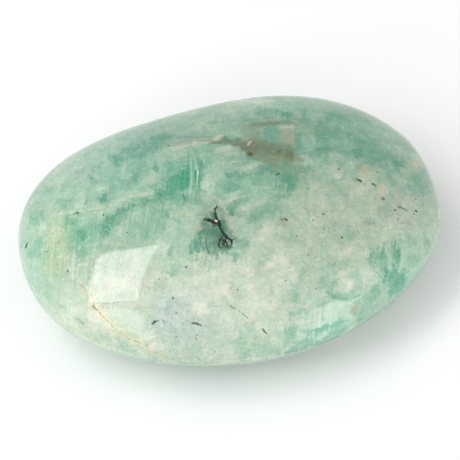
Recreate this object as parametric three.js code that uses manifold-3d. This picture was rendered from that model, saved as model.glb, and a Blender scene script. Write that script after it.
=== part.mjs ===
// A palm stone: one polished pebble of mottled green feldspar, made to lie in a hand.
// Millimetres, +Z up, long side along X.
// The origin is the middle of the stone's box, at the bottom, on the spot that it rests on.
import * as THREE from 'three';
import { mergeVertices } from 'three/addons/utils/BufferGeometryUtils.js';
import Module from 'manifold-3d';

// Sizes of the ball before its outline is shaped
const stoneLength = 66;
const stoneWidth = 45.8;
const stoneHeight = 23;

// How full the sides are: 2 is a plain ellipse from the side, and more is squarer
const sideFullness = 2.25;

// What the flat resting spot takes off the underside
const restingSpotDepth = 0.25;

// Waves round the outline, each with its number of lobes.
// along is its swing at the +X end, and across is its swing a quarter of a wave further on.
const outlineWaves = [
  { lobes: 2, along: 0.012, across: 0.002 },
  { lobes: 3, along: -0.006, across: 0.016 },
  { lobes: 4, along: -0.010, across: -0.008 },
  { lobes: 5, along: 0.009, across: -0.006 },
];

// The +X end is ground a little flat. Its plane stands off the middle by distance.
// turn is its bearing from +X and tilt its rise, both in degrees.
// softness is the width of its rounded border, as a share of the stone's half size.
const endFlat = { turn: 3, tilt: 5, distance: 32.7, softness: 0.1 };

// The number of parts that each edge of the ball's first 20 triangles is split into, less one
const ballDetail = 17;

const stoneColour = 0xadc6b1;
const stoneRoughness = 0.12;

// Corners closer than this are one corner
const mergeDistance = 1e-5;

const halfSize = new THREE.Vector3(stoneLength / 2, stoneWidth / 2, stoneHeight / 2);

const wasm = await Module();
wasm.setup();

function outlineSwell(bearing) {
  let swell = 1;
  for (const wave of outlineWaves) {
    swell += wave.along * Math.cos(wave.lobes * bearing);
    swell += wave.across * Math.sin(wave.lobes * bearing);
  }
  return swell;
}

// The smaller of two numbers, rounded off where they are closer than the width
function softSmaller(first, second, width) {
  const closeness = Math.max(width - Math.abs(first - second), 0) / width;
  return Math.min(first, second) - closeness * closeness * width * 0.25;
}

function endFlatNormal() {
  const turn = THREE.MathUtils.degToRad(endFlat.turn);
  const tilt = THREE.MathUtils.degToRad(endFlat.tilt);
  return new THREE.Vector3(
    Math.cos(tilt) * Math.cos(turn),
    Math.cos(tilt) * Math.sin(turn),
    Math.sin(tilt),
  );
}

const flatNormal = endFlatNormal();

// Moves a point of the unit ball out to the surface of the stone
function placeOnStone(point) {
  const bearing = Math.atan2(point.y, point.x);
  const plan = Math.hypot(point.x, point.y) / outlineSwell(bearing);
  const rise = Math.abs(point.z);
  let reach = (plan ** sideFullness + rise ** sideFullness) ** (-1 / sideFullness);
  point.multiply(halfSize);
  const towardsFlat = point.dot(flatNormal);
  if (towardsFlat > 0) {
    reach = softSmaller(reach, endFlat.distance / towardsFlat, endFlat.softness);
  }
  return point.multiplyScalar(reach);
}

// A closed three.js geometry with its shared corners merged
function closedGeometry(geometry) {
  geometry.deleteAttribute('normal');
  geometry.deleteAttribute('uv');
  return mergeVertices(geometry, mergeDistance);
}

function toSolid(geometry) {
  const vertProperties = new Float32Array(geometry.getAttribute('position').array);
  const triVerts = new Uint32Array(geometry.getIndex().array);
  return new wasm.Manifold(new wasm.Mesh({ numProp: 3, vertProperties, triVerts }));
}

function toGeometry(solid) {
  const mesh = solid.getMesh();
  const geometry = new THREE.BufferGeometry();
  geometry.setAttribute('position', new THREE.BufferAttribute(mesh.vertProperties, 3));
  geometry.setIndex(new THREE.BufferAttribute(mesh.triVerts, 1));
  geometry.computeVertexNormals();
  return geometry;
}

function pebbleGeometry() {
  const ball = closedGeometry(new THREE.IcosahedronGeometry(1, ballDetail));
  const positions = ball.getAttribute('position');
  const point = new THREE.Vector3();
  for (let i = 0; i < positions.count; i += 1) {
    point.fromBufferAttribute(positions, i);
    placeOnStone(point);
    positions.setXYZ(i, point.x, point.y, point.z);
  }
  return ball;
}

// A block below the level that the underside is ground down to
function groundAway() {
  const side = stoneLength * 2;
  const block = new THREE.BoxGeometry(side, side, stoneHeight);
  block.translate(0, 0, -stoneHeight + restingSpotDepth);
  return closedGeometry(block);
}

function palmStoneGeometry() {
  const pebble = pebbleGeometry();
  const solid = toSolid(pebble).subtract(toSolid(groundAway()));
  const geometry = toGeometry(solid);
  geometry.computeBoundingBox();
  const { min, max } = geometry.boundingBox;
  geometry.translate(-(min.x + max.x) / 2, -(min.y + max.y) / 2, -min.z);
  return geometry;
}

const palmStone = new THREE.Mesh(
  palmStoneGeometry(),
  new THREE.MeshStandardMaterial({
    color: stoneColour,
    roughness: stoneRoughness,
    metalness: 0,
  }),
);
palmStone.name = 'palm_stone';

const model = new THREE.Group();
model.add(palmStone);

export default model;
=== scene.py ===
# A polished palm stone of mottled green feldspar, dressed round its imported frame.
# Lengths are in millimetres here and become metres where Blender objects are made.
import math

import bpy
from mathutils import Matrix, Vector
from mathutils.bvhtree import BVHTree


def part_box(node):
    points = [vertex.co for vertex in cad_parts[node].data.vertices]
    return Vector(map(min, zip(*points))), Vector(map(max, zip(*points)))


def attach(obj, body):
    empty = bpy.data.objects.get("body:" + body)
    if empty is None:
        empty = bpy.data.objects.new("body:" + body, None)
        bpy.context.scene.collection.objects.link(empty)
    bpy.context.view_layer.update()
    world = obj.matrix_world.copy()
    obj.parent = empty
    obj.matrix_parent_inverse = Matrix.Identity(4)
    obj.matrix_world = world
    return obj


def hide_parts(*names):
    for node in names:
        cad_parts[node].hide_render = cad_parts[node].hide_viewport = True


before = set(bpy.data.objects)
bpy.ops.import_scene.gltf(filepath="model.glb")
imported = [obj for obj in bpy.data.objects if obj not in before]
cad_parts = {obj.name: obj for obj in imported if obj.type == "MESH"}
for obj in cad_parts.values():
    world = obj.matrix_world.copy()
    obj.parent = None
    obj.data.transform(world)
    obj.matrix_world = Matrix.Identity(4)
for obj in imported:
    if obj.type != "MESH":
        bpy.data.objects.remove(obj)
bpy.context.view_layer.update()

mm = 0.001  # in metres

# The ball that the stone is drawn from, and what shapes it
stoneShape = {
    "size": (66.0, 45.8, 23.0),  # length, width and height before the outline's waves
    "fullness": 2.25,  # 2 is a plain ellipse from the side, and more is squarer
    "waves": {2: (0.012, 0.002), 3: (-0.006, 0.016), 4: (-0.010, -0.008), 5: (0.009, -0.006)},
    "flatTurn": 3.0,  # bearing and rise of the gently flattened end, in degrees
    "flatTilt": 5.0,
    "flatDistance": 32.7,
    "flatSoftness": 0.1,
    "spotDepth": 0.25,  # what the resting spot takes off the underside
    "spotSoftness": 0.06,
    "polishWaver": 0.05,  # how far the hand polish strays in and out
    "waverSize": 9.0,
    "pointsPerEdge": 128,  # of the cube that the ball is blown up from
}

# Where the photograph was taken from, round the ball's middle
photoView = {
    "azimuth": -12.5,  # in degrees
    "elevation": 56.0,
    "distance": 420.0,
    "focal": 2720.0,  # in pixels of the picture
    "picture": 460.0,  # its width and height in pixels
    "aimRight": -0.44,  # how far beside and above the ball's middle it was aimed
    "aimUp": -0.17,
    "sensor": 36.0,
    "nearest": 10.0,  # nothing closer than this is drawn
}


# Node helpers: a socket is linked, and anything else is set on the socket itself

def feed(tree, socket, value):
    if isinstance(value, bpy.types.NodeSocket):
        tree.links.new(value, socket)
    elif value is not None:
        socket.default_value = value


def addNode(tree, kind, settings=None, **sockets):
    node = tree.nodes.new(kind)
    for name, value in (settings or {}).items():
        setattr(node, name, value)
    for name, value in sockets.items():
        feed(tree, node.inputs[name.replace("_", " ")], value)
    return node


def calc(tree, operation, *values):
    node = tree.nodes.new("ShaderNodeMath")
    node.operation = operation
    for socket, value in zip(node.inputs, values):
        feed(tree, socket, value)
    return node.outputs[0]


def vectorCalc(tree, operation, first, second=None, scale=None):
    node = tree.nodes.new("ShaderNodeVectorMath")
    node.operation = operation
    feed(tree, node.inputs[0], first)
    if operation == "SCALE":
        feed(tree, node.inputs["Scale"], scale)
    else:
        feed(tree, node.inputs[1], second)
    plain = operation in ("DOT_PRODUCT", "LENGTH", "DISTANCE")
    return node.outputs["Value" if plain else "Vector"]


# What lies between two values is spread between two others
def between(tree, value, low, high, toLow=0.0, toHigh=1.0, smooth=True):
    kind = "SMOOTHSTEP" if smooth else "LINEAR"
    return addNode(
        tree, "ShaderNodeMapRange", {"interpolation_type": kind, "clamp": False}, Value=value,
        From_Min=low, From_Max=high, To_Min=toLow, To_Max=toHigh,
    ).outputs[0]


# The stone's form, by Geometry Nodes

def addInputs(tree, kinds):
    for name, (kind, value) in kinds.items():
        socket = tree.interface.new_socket(name, in_out="INPUT", socket_type=kind)
        if value is not None:
            socket.default_value = value


def setInputs(modifier, values):
    for item in modifier.node_group.interface.items_tree:
        if item.item_type == "SOCKET" and item.in_out == "INPUT" and item.name in values:
            modifier[item.identifier] = values[item.name]


# The smaller of two values, rounded off where they are closer than the width
def softSmaller(tree, first, second, width):
    gap = calc(tree, "ABSOLUTE", calc(tree, "SUBTRACT", first, second))
    closeness = calc(tree, "MAXIMUM", calc(tree, "SUBTRACT", width, gap), 0.0)
    rounding = calc(tree, "DIVIDE", calc(tree, "MULTIPLY", closeness, closeness), width)
    smaller = calc(tree, "MINIMUM", first, second)
    return calc(tree, "SUBTRACT", smaller, calc(tree, "MULTIPLY", rounding, 0.25))


def buildStoneTree(waves):
    tree = bpy.data.node_groups.new("pebbleForm", "GeometryNodeTree")
    inputs = {
        "Points": ("NodeSocketInt", 128),
        "Half Size": ("NodeSocketVector", None),
        "Fullness": ("NodeSocketFloat", 2.0),
        "Flat Normal": ("NodeSocketVector", None),
        "Flat Distance": ("NodeSocketFloat", 1.0),
        "Flat Softness": ("NodeSocketFloat", 0.1),
        "Spot Level": ("NodeSocketFloat", -1.0),
        "Spot Softness": ("NodeSocketFloat", 0.01),
        "Waver": ("NodeSocketFloat", 0.0),
        "Waver Size": ("NodeSocketFloat", 1.0),
        "Finish": ("NodeSocketMaterial", None),
    }
    for lobes in waves:
        inputs[f"Wave {lobes} Along"] = ("NodeSocketFloat", 0.0)
        inputs[f"Wave {lobes} Across"] = ("NodeSocketFloat", 0.0)
    addInputs(tree, inputs)
    tree.interface.new_socket("Stone", in_out="OUTPUT", socket_type="NodeSocketGeometry")
    given = tree.nodes.new("NodeGroupInput").outputs

    # A cube blown up into a ball, its rows bent first so that its squares stay even
    cube = addNode(tree, "GeometryNodeMeshCube", Size=(2.0, 2.0, 2.0))
    for name in ("Vertices X", "Vertices Y", "Vertices Z"):
        tree.links.new(given["Points"], cube.inputs[name])
    place = tree.nodes.new("GeometryNodeInputPosition").outputs[0]
    evened = vectorCalc(tree, "TANGENT", vectorCalc(tree, "SCALE", place, scale=math.pi / 4))
    ball = vectorCalc(tree, "NORMALIZE", evened)
    x, y, z = addNode(tree, "ShaderNodeSeparateXYZ", Vector=ball).outputs

    # The outline swells and shrinks round the rim, and the sides are a little square
    bearing = calc(tree, "ARCTAN2", y, x)
    swell = None
    for lobes in waves:
        turn = calc(tree, "MULTIPLY", bearing, float(lobes))
        along = calc(tree, "MULTIPLY", calc(tree, "COSINE", turn), given[f"Wave {lobes} Along"])
        across = calc(tree, "MULTIPLY", calc(tree, "SINE", turn), given[f"Wave {lobes} Across"])
        swell = calc(tree, "ADD", calc(tree, "ADD", along, across), swell or 1.0)
    squares = calc(tree, "ADD", calc(tree, "MULTIPLY", x, x), calc(tree, "MULTIPLY", y, y))
    plan = calc(tree, "DIVIDE", calc(tree, "SQRT", squares), swell)
    fullness = given["Fullness"]
    planPart = calc(tree, "POWER", plan, fullness)
    risePart = calc(tree, "POWER", calc(tree, "ABSOLUTE", z), fullness)
    inverse = calc(tree, "DIVIDE", -1.0, fullness)
    reach = calc(tree, "POWER", calc(tree, "ADD", planPart, risePart), inverse)

    # One end is ground gently flat
    stretched = vectorCalc(tree, "MULTIPLY", ball, given["Half Size"])
    towards = vectorCalc(tree, "DOT_PRODUCT", stretched, given["Flat Normal"])
    stop = calc(tree, "DIVIDE", given["Flat Distance"], calc(tree, "MAXIMUM", towards, 1e-6))
    reach = softSmaller(tree, reach, stop, given["Flat Softness"])
    surface = vectorCalc(tree, "SCALE", stretched, scale=reach)
    formed = addNode(tree, "GeometryNodeSetPosition", Geometry=cube.outputs["Mesh"], Position=surface)

    # The hand polish leaves the surface faintly uneven
    here = tree.nodes.new("GeometryNodeInputPosition").outputs[0]
    cells = vectorCalc(tree, "SCALE", here, scale=calc(tree, "DIVIDE", 1.0, given["Waver Size"]))
    noise = addNode(tree, "ShaderNodeTexNoise", Vector=cells, Scale=1.0, Detail=1.0)
    stray = calc(tree, "MULTIPLY", calc(tree, "SUBTRACT", noise.outputs["Fac"], 0.5), given["Waver"])
    normal = tree.nodes.new("GeometryNodeInputNormal").outputs["Normal"]
    offset = vectorCalc(tree, "SCALE", normal, scale=stray)
    uneven = addNode(tree, "GeometryNodeSetPosition", Geometry=formed.outputs[0], Offset=offset)

    # The underside stops at the level of the resting spot
    settled = tree.nodes.new("GeometryNodeInputPosition").outputs[0]
    low = addNode(tree, "ShaderNodeSeparateXYZ", Vector=settled).outputs
    under = calc(tree, "MULTIPLY", low["Z"], -1.0)
    spot = calc(tree, "MULTIPLY", given["Spot Level"], -1.0)
    stopped = calc(tree, "MULTIPLY", softSmaller(tree, under, spot, given["Spot Softness"]), -1.0)
    grounded = addNode(tree, "ShaderNodeCombineXYZ", X=low["X"], Y=low["Y"], Z=stopped).outputs[0]
    rested = addNode(tree, "GeometryNodeSetPosition", Geometry=uneven.outputs[0], Position=grounded)
    smooth = addNode(tree, "GeometryNodeSetShadeSmooth", Geometry=rested.outputs[0])
    single = addNode(tree, "GeometryNodeRealizeInstances", Geometry=smooth.outputs[0])
    finished = addNode(
        tree, "GeometryNodeSetMaterial", Geometry=single.outputs[0], Material=given["Finish"]
    )
    result = tree.nodes.new("NodeGroupOutput")
    tree.links.new(finished.outputs[0], result.inputs["Stone"])
    return tree


def flatNormal(turn, tilt):
    turn, tilt = math.radians(turn), math.radians(tilt)
    return (math.cos(tilt) * math.cos(turn), math.cos(tilt) * math.sin(turn), math.sin(tilt))


def makeStone(shape, finish):
    half = [side / 2 * mm for side in shape["size"]]
    values = {
        "Points": shape["pointsPerEdge"],
        "Half Size": half,
        "Fullness": shape["fullness"],
        "Flat Normal": flatNormal(shape["flatTurn"], shape["flatTilt"]),
        "Flat Distance": shape["flatDistance"] * mm,
        "Flat Softness": shape["flatSoftness"],
        "Spot Level": shape["spotDepth"] * mm - half[2],
        "Spot Softness": shape["spotSoftness"] * mm,
        "Waver": shape["polishWaver"] * mm,
        "Waver Size": shape["waverSize"] * mm,
        "Finish": finish,
    }
    for lobes, (along, across) in shape["waves"].items():
        values[f"Wave {lobes} Along"] = along
        values[f"Wave {lobes} Across"] = across
    carrier = bpy.data.objects.new("pebbleCarrier", bpy.data.meshes.new("pebbleCarrier"))
    bpy.context.scene.collection.objects.link(carrier)
    modifier = carrier.modifiers.new("pebbleForm", "NODES")
    modifier.node_group = buildStoneTree(shape["waves"])
    setInputs(modifier, values)
    ready = carrier.evaluated_get(bpy.context.evaluated_depsgraph_get())
    body = bpy.data.meshes.new_from_object(ready)
    body.name = "palmStone"
    bpy.data.objects.remove(carrier)
    stone = bpy.data.objects.new("palmStone", body)
    bpy.context.scene.collection.objects.link(stone)
    return stone


def middleOfBox(low, high):
    return Vector(((low.x + high.x) / 2, (low.y + high.y) / 2, low.z))


stoneFinish = bpy.data.materials.new("polishedFeldspar")
stone = makeStone(stoneShape, stoneFinish)
corners = [Vector(c) for c in stone.bound_box]
ownBox = [Vector(map(pick, zip(*corners))) for pick in (min, max)]
shift = middleOfBox(*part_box("palm_stone")) - middleOfBox(*ownBox)
stone.data.transform(Matrix.Translation(shift))
print("stone formed,", len(stone.data.polygons), "faces")


# The camera stands where the photograph was taken from

def viewAxes(azimuth, elevation):
    a, e = math.radians(azimuth), math.radians(elevation)
    back = Vector((math.sin(a) * math.cos(e), -math.cos(a) * math.cos(e), math.sin(e)))
    right = Vector((math.cos(a), math.sin(a), 0.0))
    return right, back.cross(right), back


# Stands an object at a place, with the three directions that its own X, Y and Z point in
def standAt(thing, place, axes):
    thing.matrix_world = Matrix.Translation(place) @ Matrix(axes).transposed().to_4x4()
    bpy.context.scene.collection.objects.link(thing)


viewRight, viewUp, viewBack = viewAxes(photoView["azimuth"], photoView["elevation"])
aim = shift + viewRight * photoView["aimRight"] * mm + viewUp * photoView["aimUp"] * mm
cameraPlace = aim + viewBack * photoView["distance"] * mm
cameraData = bpy.data.cameras.new("photoCamera")
cameraData.sensor_width = photoView["sensor"]
cameraData.lens = photoView["sensor"] * photoView["focal"] / photoView["picture"]
cameraData.clip_start = photoView["nearest"] * mm
camera = bpy.data.objects.new("photoCamera", cameraData)
standAt(camera, cameraPlace, (viewRight, viewUp, viewBack))
bpy.context.scene.camera = camera
print("camera placed")


# Marks are placed by the pixel that shows them, and lie on the stone's surface

surfaceTree = BVHTree.FromPolygons(
    [v.co for v in stone.data.vertices], [p.vertices for p in stone.data.polygons]
)


def spotAt(x, y):
    half = photoView["picture"] / 2
    across = (x - half) / photoView["focal"]
    up = (half - y) / photoView["focal"]
    ray = (viewRight * across + viewUp * up - viewBack).normalized()
    hit, normal = surfaceTree.ray_cast(cameraPlace, ray)[:2]
    if hit is None:
        raise ValueError(f"pixel {x}, {y} is off the stone")
    return hit / mm, normal


patchDepth = 4.0  # how deep under the surface a patch reaches
leastFacing = 0.35  # limits how far a patch near the outline is drawn out along the surface


# Seen from the camera, a patch is an oval of that half width and height, turned anticlockwise.
# Returned are its middle and the rows that take a point to the patch's own unit ball.
def patchFrame(x, y, halfWide, halfTall, turn):
    middle, normal = spotAt(x, y)
    angle = math.radians(turn)
    wide = viewRight * math.cos(angle) + viewUp * math.sin(angle)
    tall = viewUp * math.cos(angle) - viewRight * math.sin(angle)
    facing = max(normal.dot(viewBack), leastFacing)
    sides = [side - viewBack * (side.dot(normal) / facing) for side in (wide, tall)]
    columns = Matrix((sides[0] * halfWide, sides[1] * halfTall, normal * patchDepth)).transposed()
    return middle, columns.inverted()


# Node groups shared by the marks

def maskGroup(name, places, amounts, measure):
    group = bpy.data.node_groups.new(name, "ShaderNodeTree")
    addInputs(group, {key: ("NodeSocketVector", None) for key in places})
    addInputs(group, {key: ("NodeSocketFloat", 0.0) for key in amounts})
    group.interface.new_socket("Mask", in_out="OUTPUT", socket_type="NodeSocketFloat")
    given = group.nodes.new("NodeGroupInput").outputs
    result = group.nodes.new("NodeGroupOutput").inputs
    mask = between(group, measure(group, given), given["Outer"], given["Inner"])
    group.links.new(mask, result["Mask"])
    return group


# How far a point is from a patch's middle, as a share of its half size. Fray pushes its edge in and out.
def fromPatch(group, given):
    offset = vectorCalc(group, "SUBTRACT", given["Point"], given["Middle"])
    sides = ("Wide", "Tall", "Deep")
    x, y, z = [vectorCalc(group, "DOT_PRODUCT", offset, given[side]) for side in sides]
    own = addNode(group, "ShaderNodeCombineXYZ", X=x, Y=y, Z=z).outputs[0]
    return calc(group, "ADD", vectorCalc(group, "LENGTH", own), given["Fray"])


# How far a point is from the middle line of a straight stroke
def fromStroke(group, given):
    offset = vectorCalc(group, "SUBTRACT", given["Point"], given["Start"])
    share = vectorCalc(group, "DOT_PRODUCT", offset, given["Share"])
    along = addNode(group, "ShaderNodeClamp", Value=share).outputs[0]
    nearest = vectorCalc(group, "SCALE", given["Reach"], scale=along)
    return vectorCalc(group, "DISTANCE", offset, nearest)


def fromSpeck(group, given):
    return vectorCalc(group, "DISTANCE", given["Point"], given["Middle"])


# A mask is 1 up to its inner distance and 0 past its outer one
patchGroup = maskGroup(
    "softPatch", ("Point", "Middle", "Wide", "Tall", "Deep"), ("Fray", "Inner", "Outer"), fromPatch
)
strokeGroup = maskGroup("stroke", ("Point", "Start", "Reach", "Share"), ("Inner", "Outer"), fromStroke)
speckGroup = maskGroup("speck", ("Point", "Middle"), ("Inner", "Outer"), fromSpeck)


# Width is where the mask is half gone, and softness how much of the width it fades over either way
def maskAt(tree, group, point, width, softness, **sockets):
    return addNode(
        tree, "ShaderNodeGroup", {"node_tree": group}, Point=point, **sockets,
        Inner=width * (1 - softness), Outer=width * (1 + softness),
    ).outputs["Mask"]


def patchMask(tree, point, place, halfSizes, turn, softness, fray=None):
    middle, rows = patchFrame(*place, *halfSizes, turn)
    return maskAt(
        tree, patchGroup, point, 1.0, softness,
        Middle=middle, Wide=rows[0], Tall=rows[1], Deep=rows[2], Fray=fray,
    )


# The masks of several marks, made one after another, as one
def together(tree, masks):
    whole = None
    for mask in masks:
        whole = calc(tree, "MAXIMUM", whole, mask) if whole else mask
    return whole


# One mask for a path of pixels, whose half width goes from the first value to the second
def pathMask(tree, point, path, widths, softness):
    spots = [spotAt(*pixel)[0] for pixel in path]
    last = max(len(spots) - 2, 1)
    strokes = []
    for number, (start, end) in enumerate(zip(spots, spots[1:])):
        width = widths[0] + (widths[1] - widths[0]) * number / last
        reach = end - start
        strokes.append((width, {"Start": start, "Reach": reach, "Share": reach / reach.length_squared}))
    return together(
        tree, (maskAt(tree, strokeGroup, point, width, softness, **stroke) for width, stroke in strokes)
    )


def specksMask(tree, point, specks, softness):
    placed = ((spotAt(x, y)[0], width) for x, y, width in specks)
    return together(
        tree, (maskAt(tree, speckGroup, point, width, softness, Middle=spot) for spot, width in placed)
    )


def mixTone(tree, share, under, over, blend="MIX"):
    node = addNode(tree, "ShaderNodeMix", {"data_type": "RGBA", "blend_type": blend})
    feed(tree, node.inputs["Factor"], share)
    feed(tree, node.inputs[6], under)
    feed(tree, node.inputs[7], over)
    return node.outputs[2]


def mixLevel(tree, share, under, over):
    return addNode(tree, "ShaderNodeMix", Factor=share, A=under, B=over).outputs[0]


def noiseAt(tree, point, size, detail, roughness, distortion, output="Fac"):
    scaled = vectorCalc(tree, "SCALE", point, scale=1.0 / size)
    return addNode(
        tree, "ShaderNodeTexNoise", Vector=scaled, Scale=1.0, Detail=detail, Roughness=roughness,
        Distortion=distortion,
    ).outputs[output]


# A point moved about by noise, so that what is laid by it gets ragged edges
def stirred(tree, point, reach, noise):
    cloud = noiseAt(tree, point, *noise, output="Color")
    stir = vectorCalc(tree, "SUBTRACT", cloud, (0.5, 0.5, 0.5))
    return vectorCalc(tree, "ADD", point, vectorCalc(tree, "SCALE", stir, scale=reach))


# Colours as the photograph shows them, in sRGB of 255, brought to the stone's own colour
paint = {
    "light": 1.09,  # how brightly the stone is lit
    "mirrored": 0.036,  # what its polish adds by mirroring the room
    "deepest": 0.003,  # no colour is darker than this
}

# The shader's own values, the same all over the stone
polish = {"Roughness": 0.06, "IOR": 1.53}


def tone(red, green, blue):
    linear = []
    for value in (red, green, blue):
        share = value / 255
        curve = share / 12.92 if share <= 0.04045 else ((share + 0.055) / 1.055) ** 2.4
        linear.append(max((curve - paint["mirrored"]) / paint["light"], paint["deepest"]))
    return (*linear, 1.0)


# The stone's paleness runs from deep teal to ivory, and these are its colours on the way
palenessTones = {
    60: (60, 140, 110),
    80: (80, 152, 123),
    95: (95, 164, 135),
    116: (116, 166, 142),
    135: (135, 177, 154),
    155: (155, 188, 166),
    174: (174, 199, 176),
    194: (194, 210, 190),
    214: (214, 221, 201),
    240: (240, 235, 214),
}

# Noises: size, detail, roughness, distortion
noises = {
    "leaves": (1.0, 2.0, 0.6, 0.3),  # sized by the leaves themselves
    "clouds": (2.2, 5.0, 0.68, 0.4),
    "grain": (0.3, 1.0, 0.5, 0.0),
    "fray": (1.7, 5.0, 0.68, 0.3),
    "hue": (1.3, 4.0, 0.6, 0.0),
    "gaps": (0.9, 2.0, 0.5, 0.0),  # in the veins
    "thinPlaces": (0.9, 4.0, 0.7, 0.0),  # in the smears
    "hiddenClouds": (10.0, 4.0, 0.6, 0.6),
    "hiddenThreads": (16.0, 3.0, 0.55, 0.4),
}

# How points are moved about before marks are laid by them: how far, and by which noise
stirs = {
    "broad": (6.0, (5.0, 3.0, 0.6, 0.0)),
    "ragged": (2.0, (1.5, 4.0, 0.6, 0.0)),
    "loose": (0.8, (1.2, 3.0, 0.6, 0.0)),
    "fine": (0.36, (0.35, 3.0, 0.6, 0.0)),
}

# Each depth is how much paleness a noise takes away and adds
texture = {
    # The far side is painted darker than the near: partly the rock's own colour, partly painted shade
    # where it turns from the light
    "farPaleness": 152.0,  # at the far rim in the photograph, and at the near one
    "nearPaleness": 197.0,
    "farUp": 16.0,  # where those are, up the picture from the stone's middle
    "nearUp": -18.0,
    "cloudDepth": 95.0,
    "leafTilt": -6.0,  # the thin sheets of paler feldspar stand nearly upright in the picture
    "leafWidth": 0.38,
    "leafLength": 4.0,
    "leafDepth": 90.0,
    "leafShare": 0.2,  # how much the leaves show outside the zones below
    "grainDepth": 40.0,
    "frayPatches": 3.6,  # how far noise and leaves push the edges of patches in and out
    "frayLeaves": 1.1,
    "frayFields": 1.6,
    "fraySpots": 0.8,
    # Painted shade along the rim: where it begins and is whole, and how much it darkens
    "rimShadeFrom": (0.32, 0.05),  # how squarely the camera sees the stone where the rim begins, and is whole
    "rimShadeDepth": -26.0,
    "bandFrom": (0.62, 0.30),  # soft bands run along the rim, where the clouds get fainter
    "bandDepth": 85.0,
    "bandLength": 6.0,
    "bandCount": 7.0,  # between the middle of the picture and the outline
    "bandDetail": 3.0,
    "bandRoughness": 0.6,
    "bandClouds": -0.5,
    "hueRange": (0.3, 0.7),  # the noise is below these where the rock is green, and above where rose
    "gaps": (0.36, 0.5, 0.25, 1.0),  # the noise from and to, and how much of a vein is left there
    "thinPlaces": (0.34, 0.56, 0.5, 1.0),  # the same for smears
}

# The hue drifts between these, which red, green and blue are multiplied by
hues = {"green": (0.965, 1.015, 1.01, 1.0), "rose": (1.03, 0.985, 0.985, 1.0)}

# Every mark below is placed by the pixel that shows its middle, or by the pixels of its path.
# Its sizes are in millimetres and its turn in degrees, as the photograph shows them.

# Where the leaves show: pixel, half sizes, turn, softness, share
leafZones = {
    "block": ((187, 178), (3.4, 3.8), 0, 0.4, 0.8),
    "middleLeft": ((134, 221), (6.0, 3.6), 10, 0.5, 0.9),
    "left": ((66, 246), (4.4, 5.0), 0, 0.6, 0.8),
    "rightBlock": ((387, 262), (3.2, 4.4), 0, 0.4, 0.7),
    "lowerRight": ((340, 322), (5.0, 2.4), 20, 0.5, 0.6),
    "farRight": ((330, 128), (5.0, 2.5), 0, 0.6, 0.5),
}

# Thin winding lines in the rock: noise, width, and paleness that they add
wisps = {
    "pale": ((3.4, 3.0, 0.6, 0.5), 0.035, 10.0),
    "dark": ((2.3, 3.0, 0.6, 0.5), 0.020, -12.0),
}

# Broad fields: pixel, half width and height, turn, softness, paleness
fields = {
    "farRim": ((250, 108), (20, 1.6), 4, 0.8, 158),
    "farMiddle": ((290, 150), (15, 6.5), 0, 0.7, 138),
    "farRight": ((360, 145), (9, 4.5), -15, 0.7, 136),
    "farLeft": ((175, 140), (10, 3.5), 14, 0.8, 152),
    "leftShoulder": ((72, 185), (7, 5.5), 38, 0.8, 166),
    "upperLeftRim": ((80, 162), (7, 2), 36, 0.8, 166),
    "middleLeft": ((140, 205), (9, 6), 12, 0.8, 152),
    "centreTeal": ((255, 190), (8, 5), 8, 0.8, 150),
    "rightMiddle": ((350, 215), (14, 6), -5, 0.9, 179),
    "rightRim": ((405, 165), (4, 5), -50, 0.8, 160),
    "lowerLeft": ((66, 290), (7, 7), -45, 0.8, 196),
    # Painted shade: the left rim is painted darker, where the lamps light that side more
    "leftRim": ((34, 262), (3.2, 8.0), 18, 0.7, 168),
    "leftRimUpper": ((44, 214), (3.0, 4.0), -50, 0.7, 165),
    # Painted light: the right rim is painted paler where it lies in shade away from the lamps
    "rightRimPaintedLight": ((430, 238), (1.8, 4.5), -8, 0.6, 182),
    "lowerMiddle": ((230, 290), (14, 7), 0, 0.8, 199),
    "bottom": ((215, 342), (16, 3.5), 0, 0.8, 184),
    "lowerRight": ((330, 265), (9, 6), -5, 0.8, 180),
    "lowerRightRim": ((380, 312), (8, 2.4), 40, 0.6, 164),
}

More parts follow.
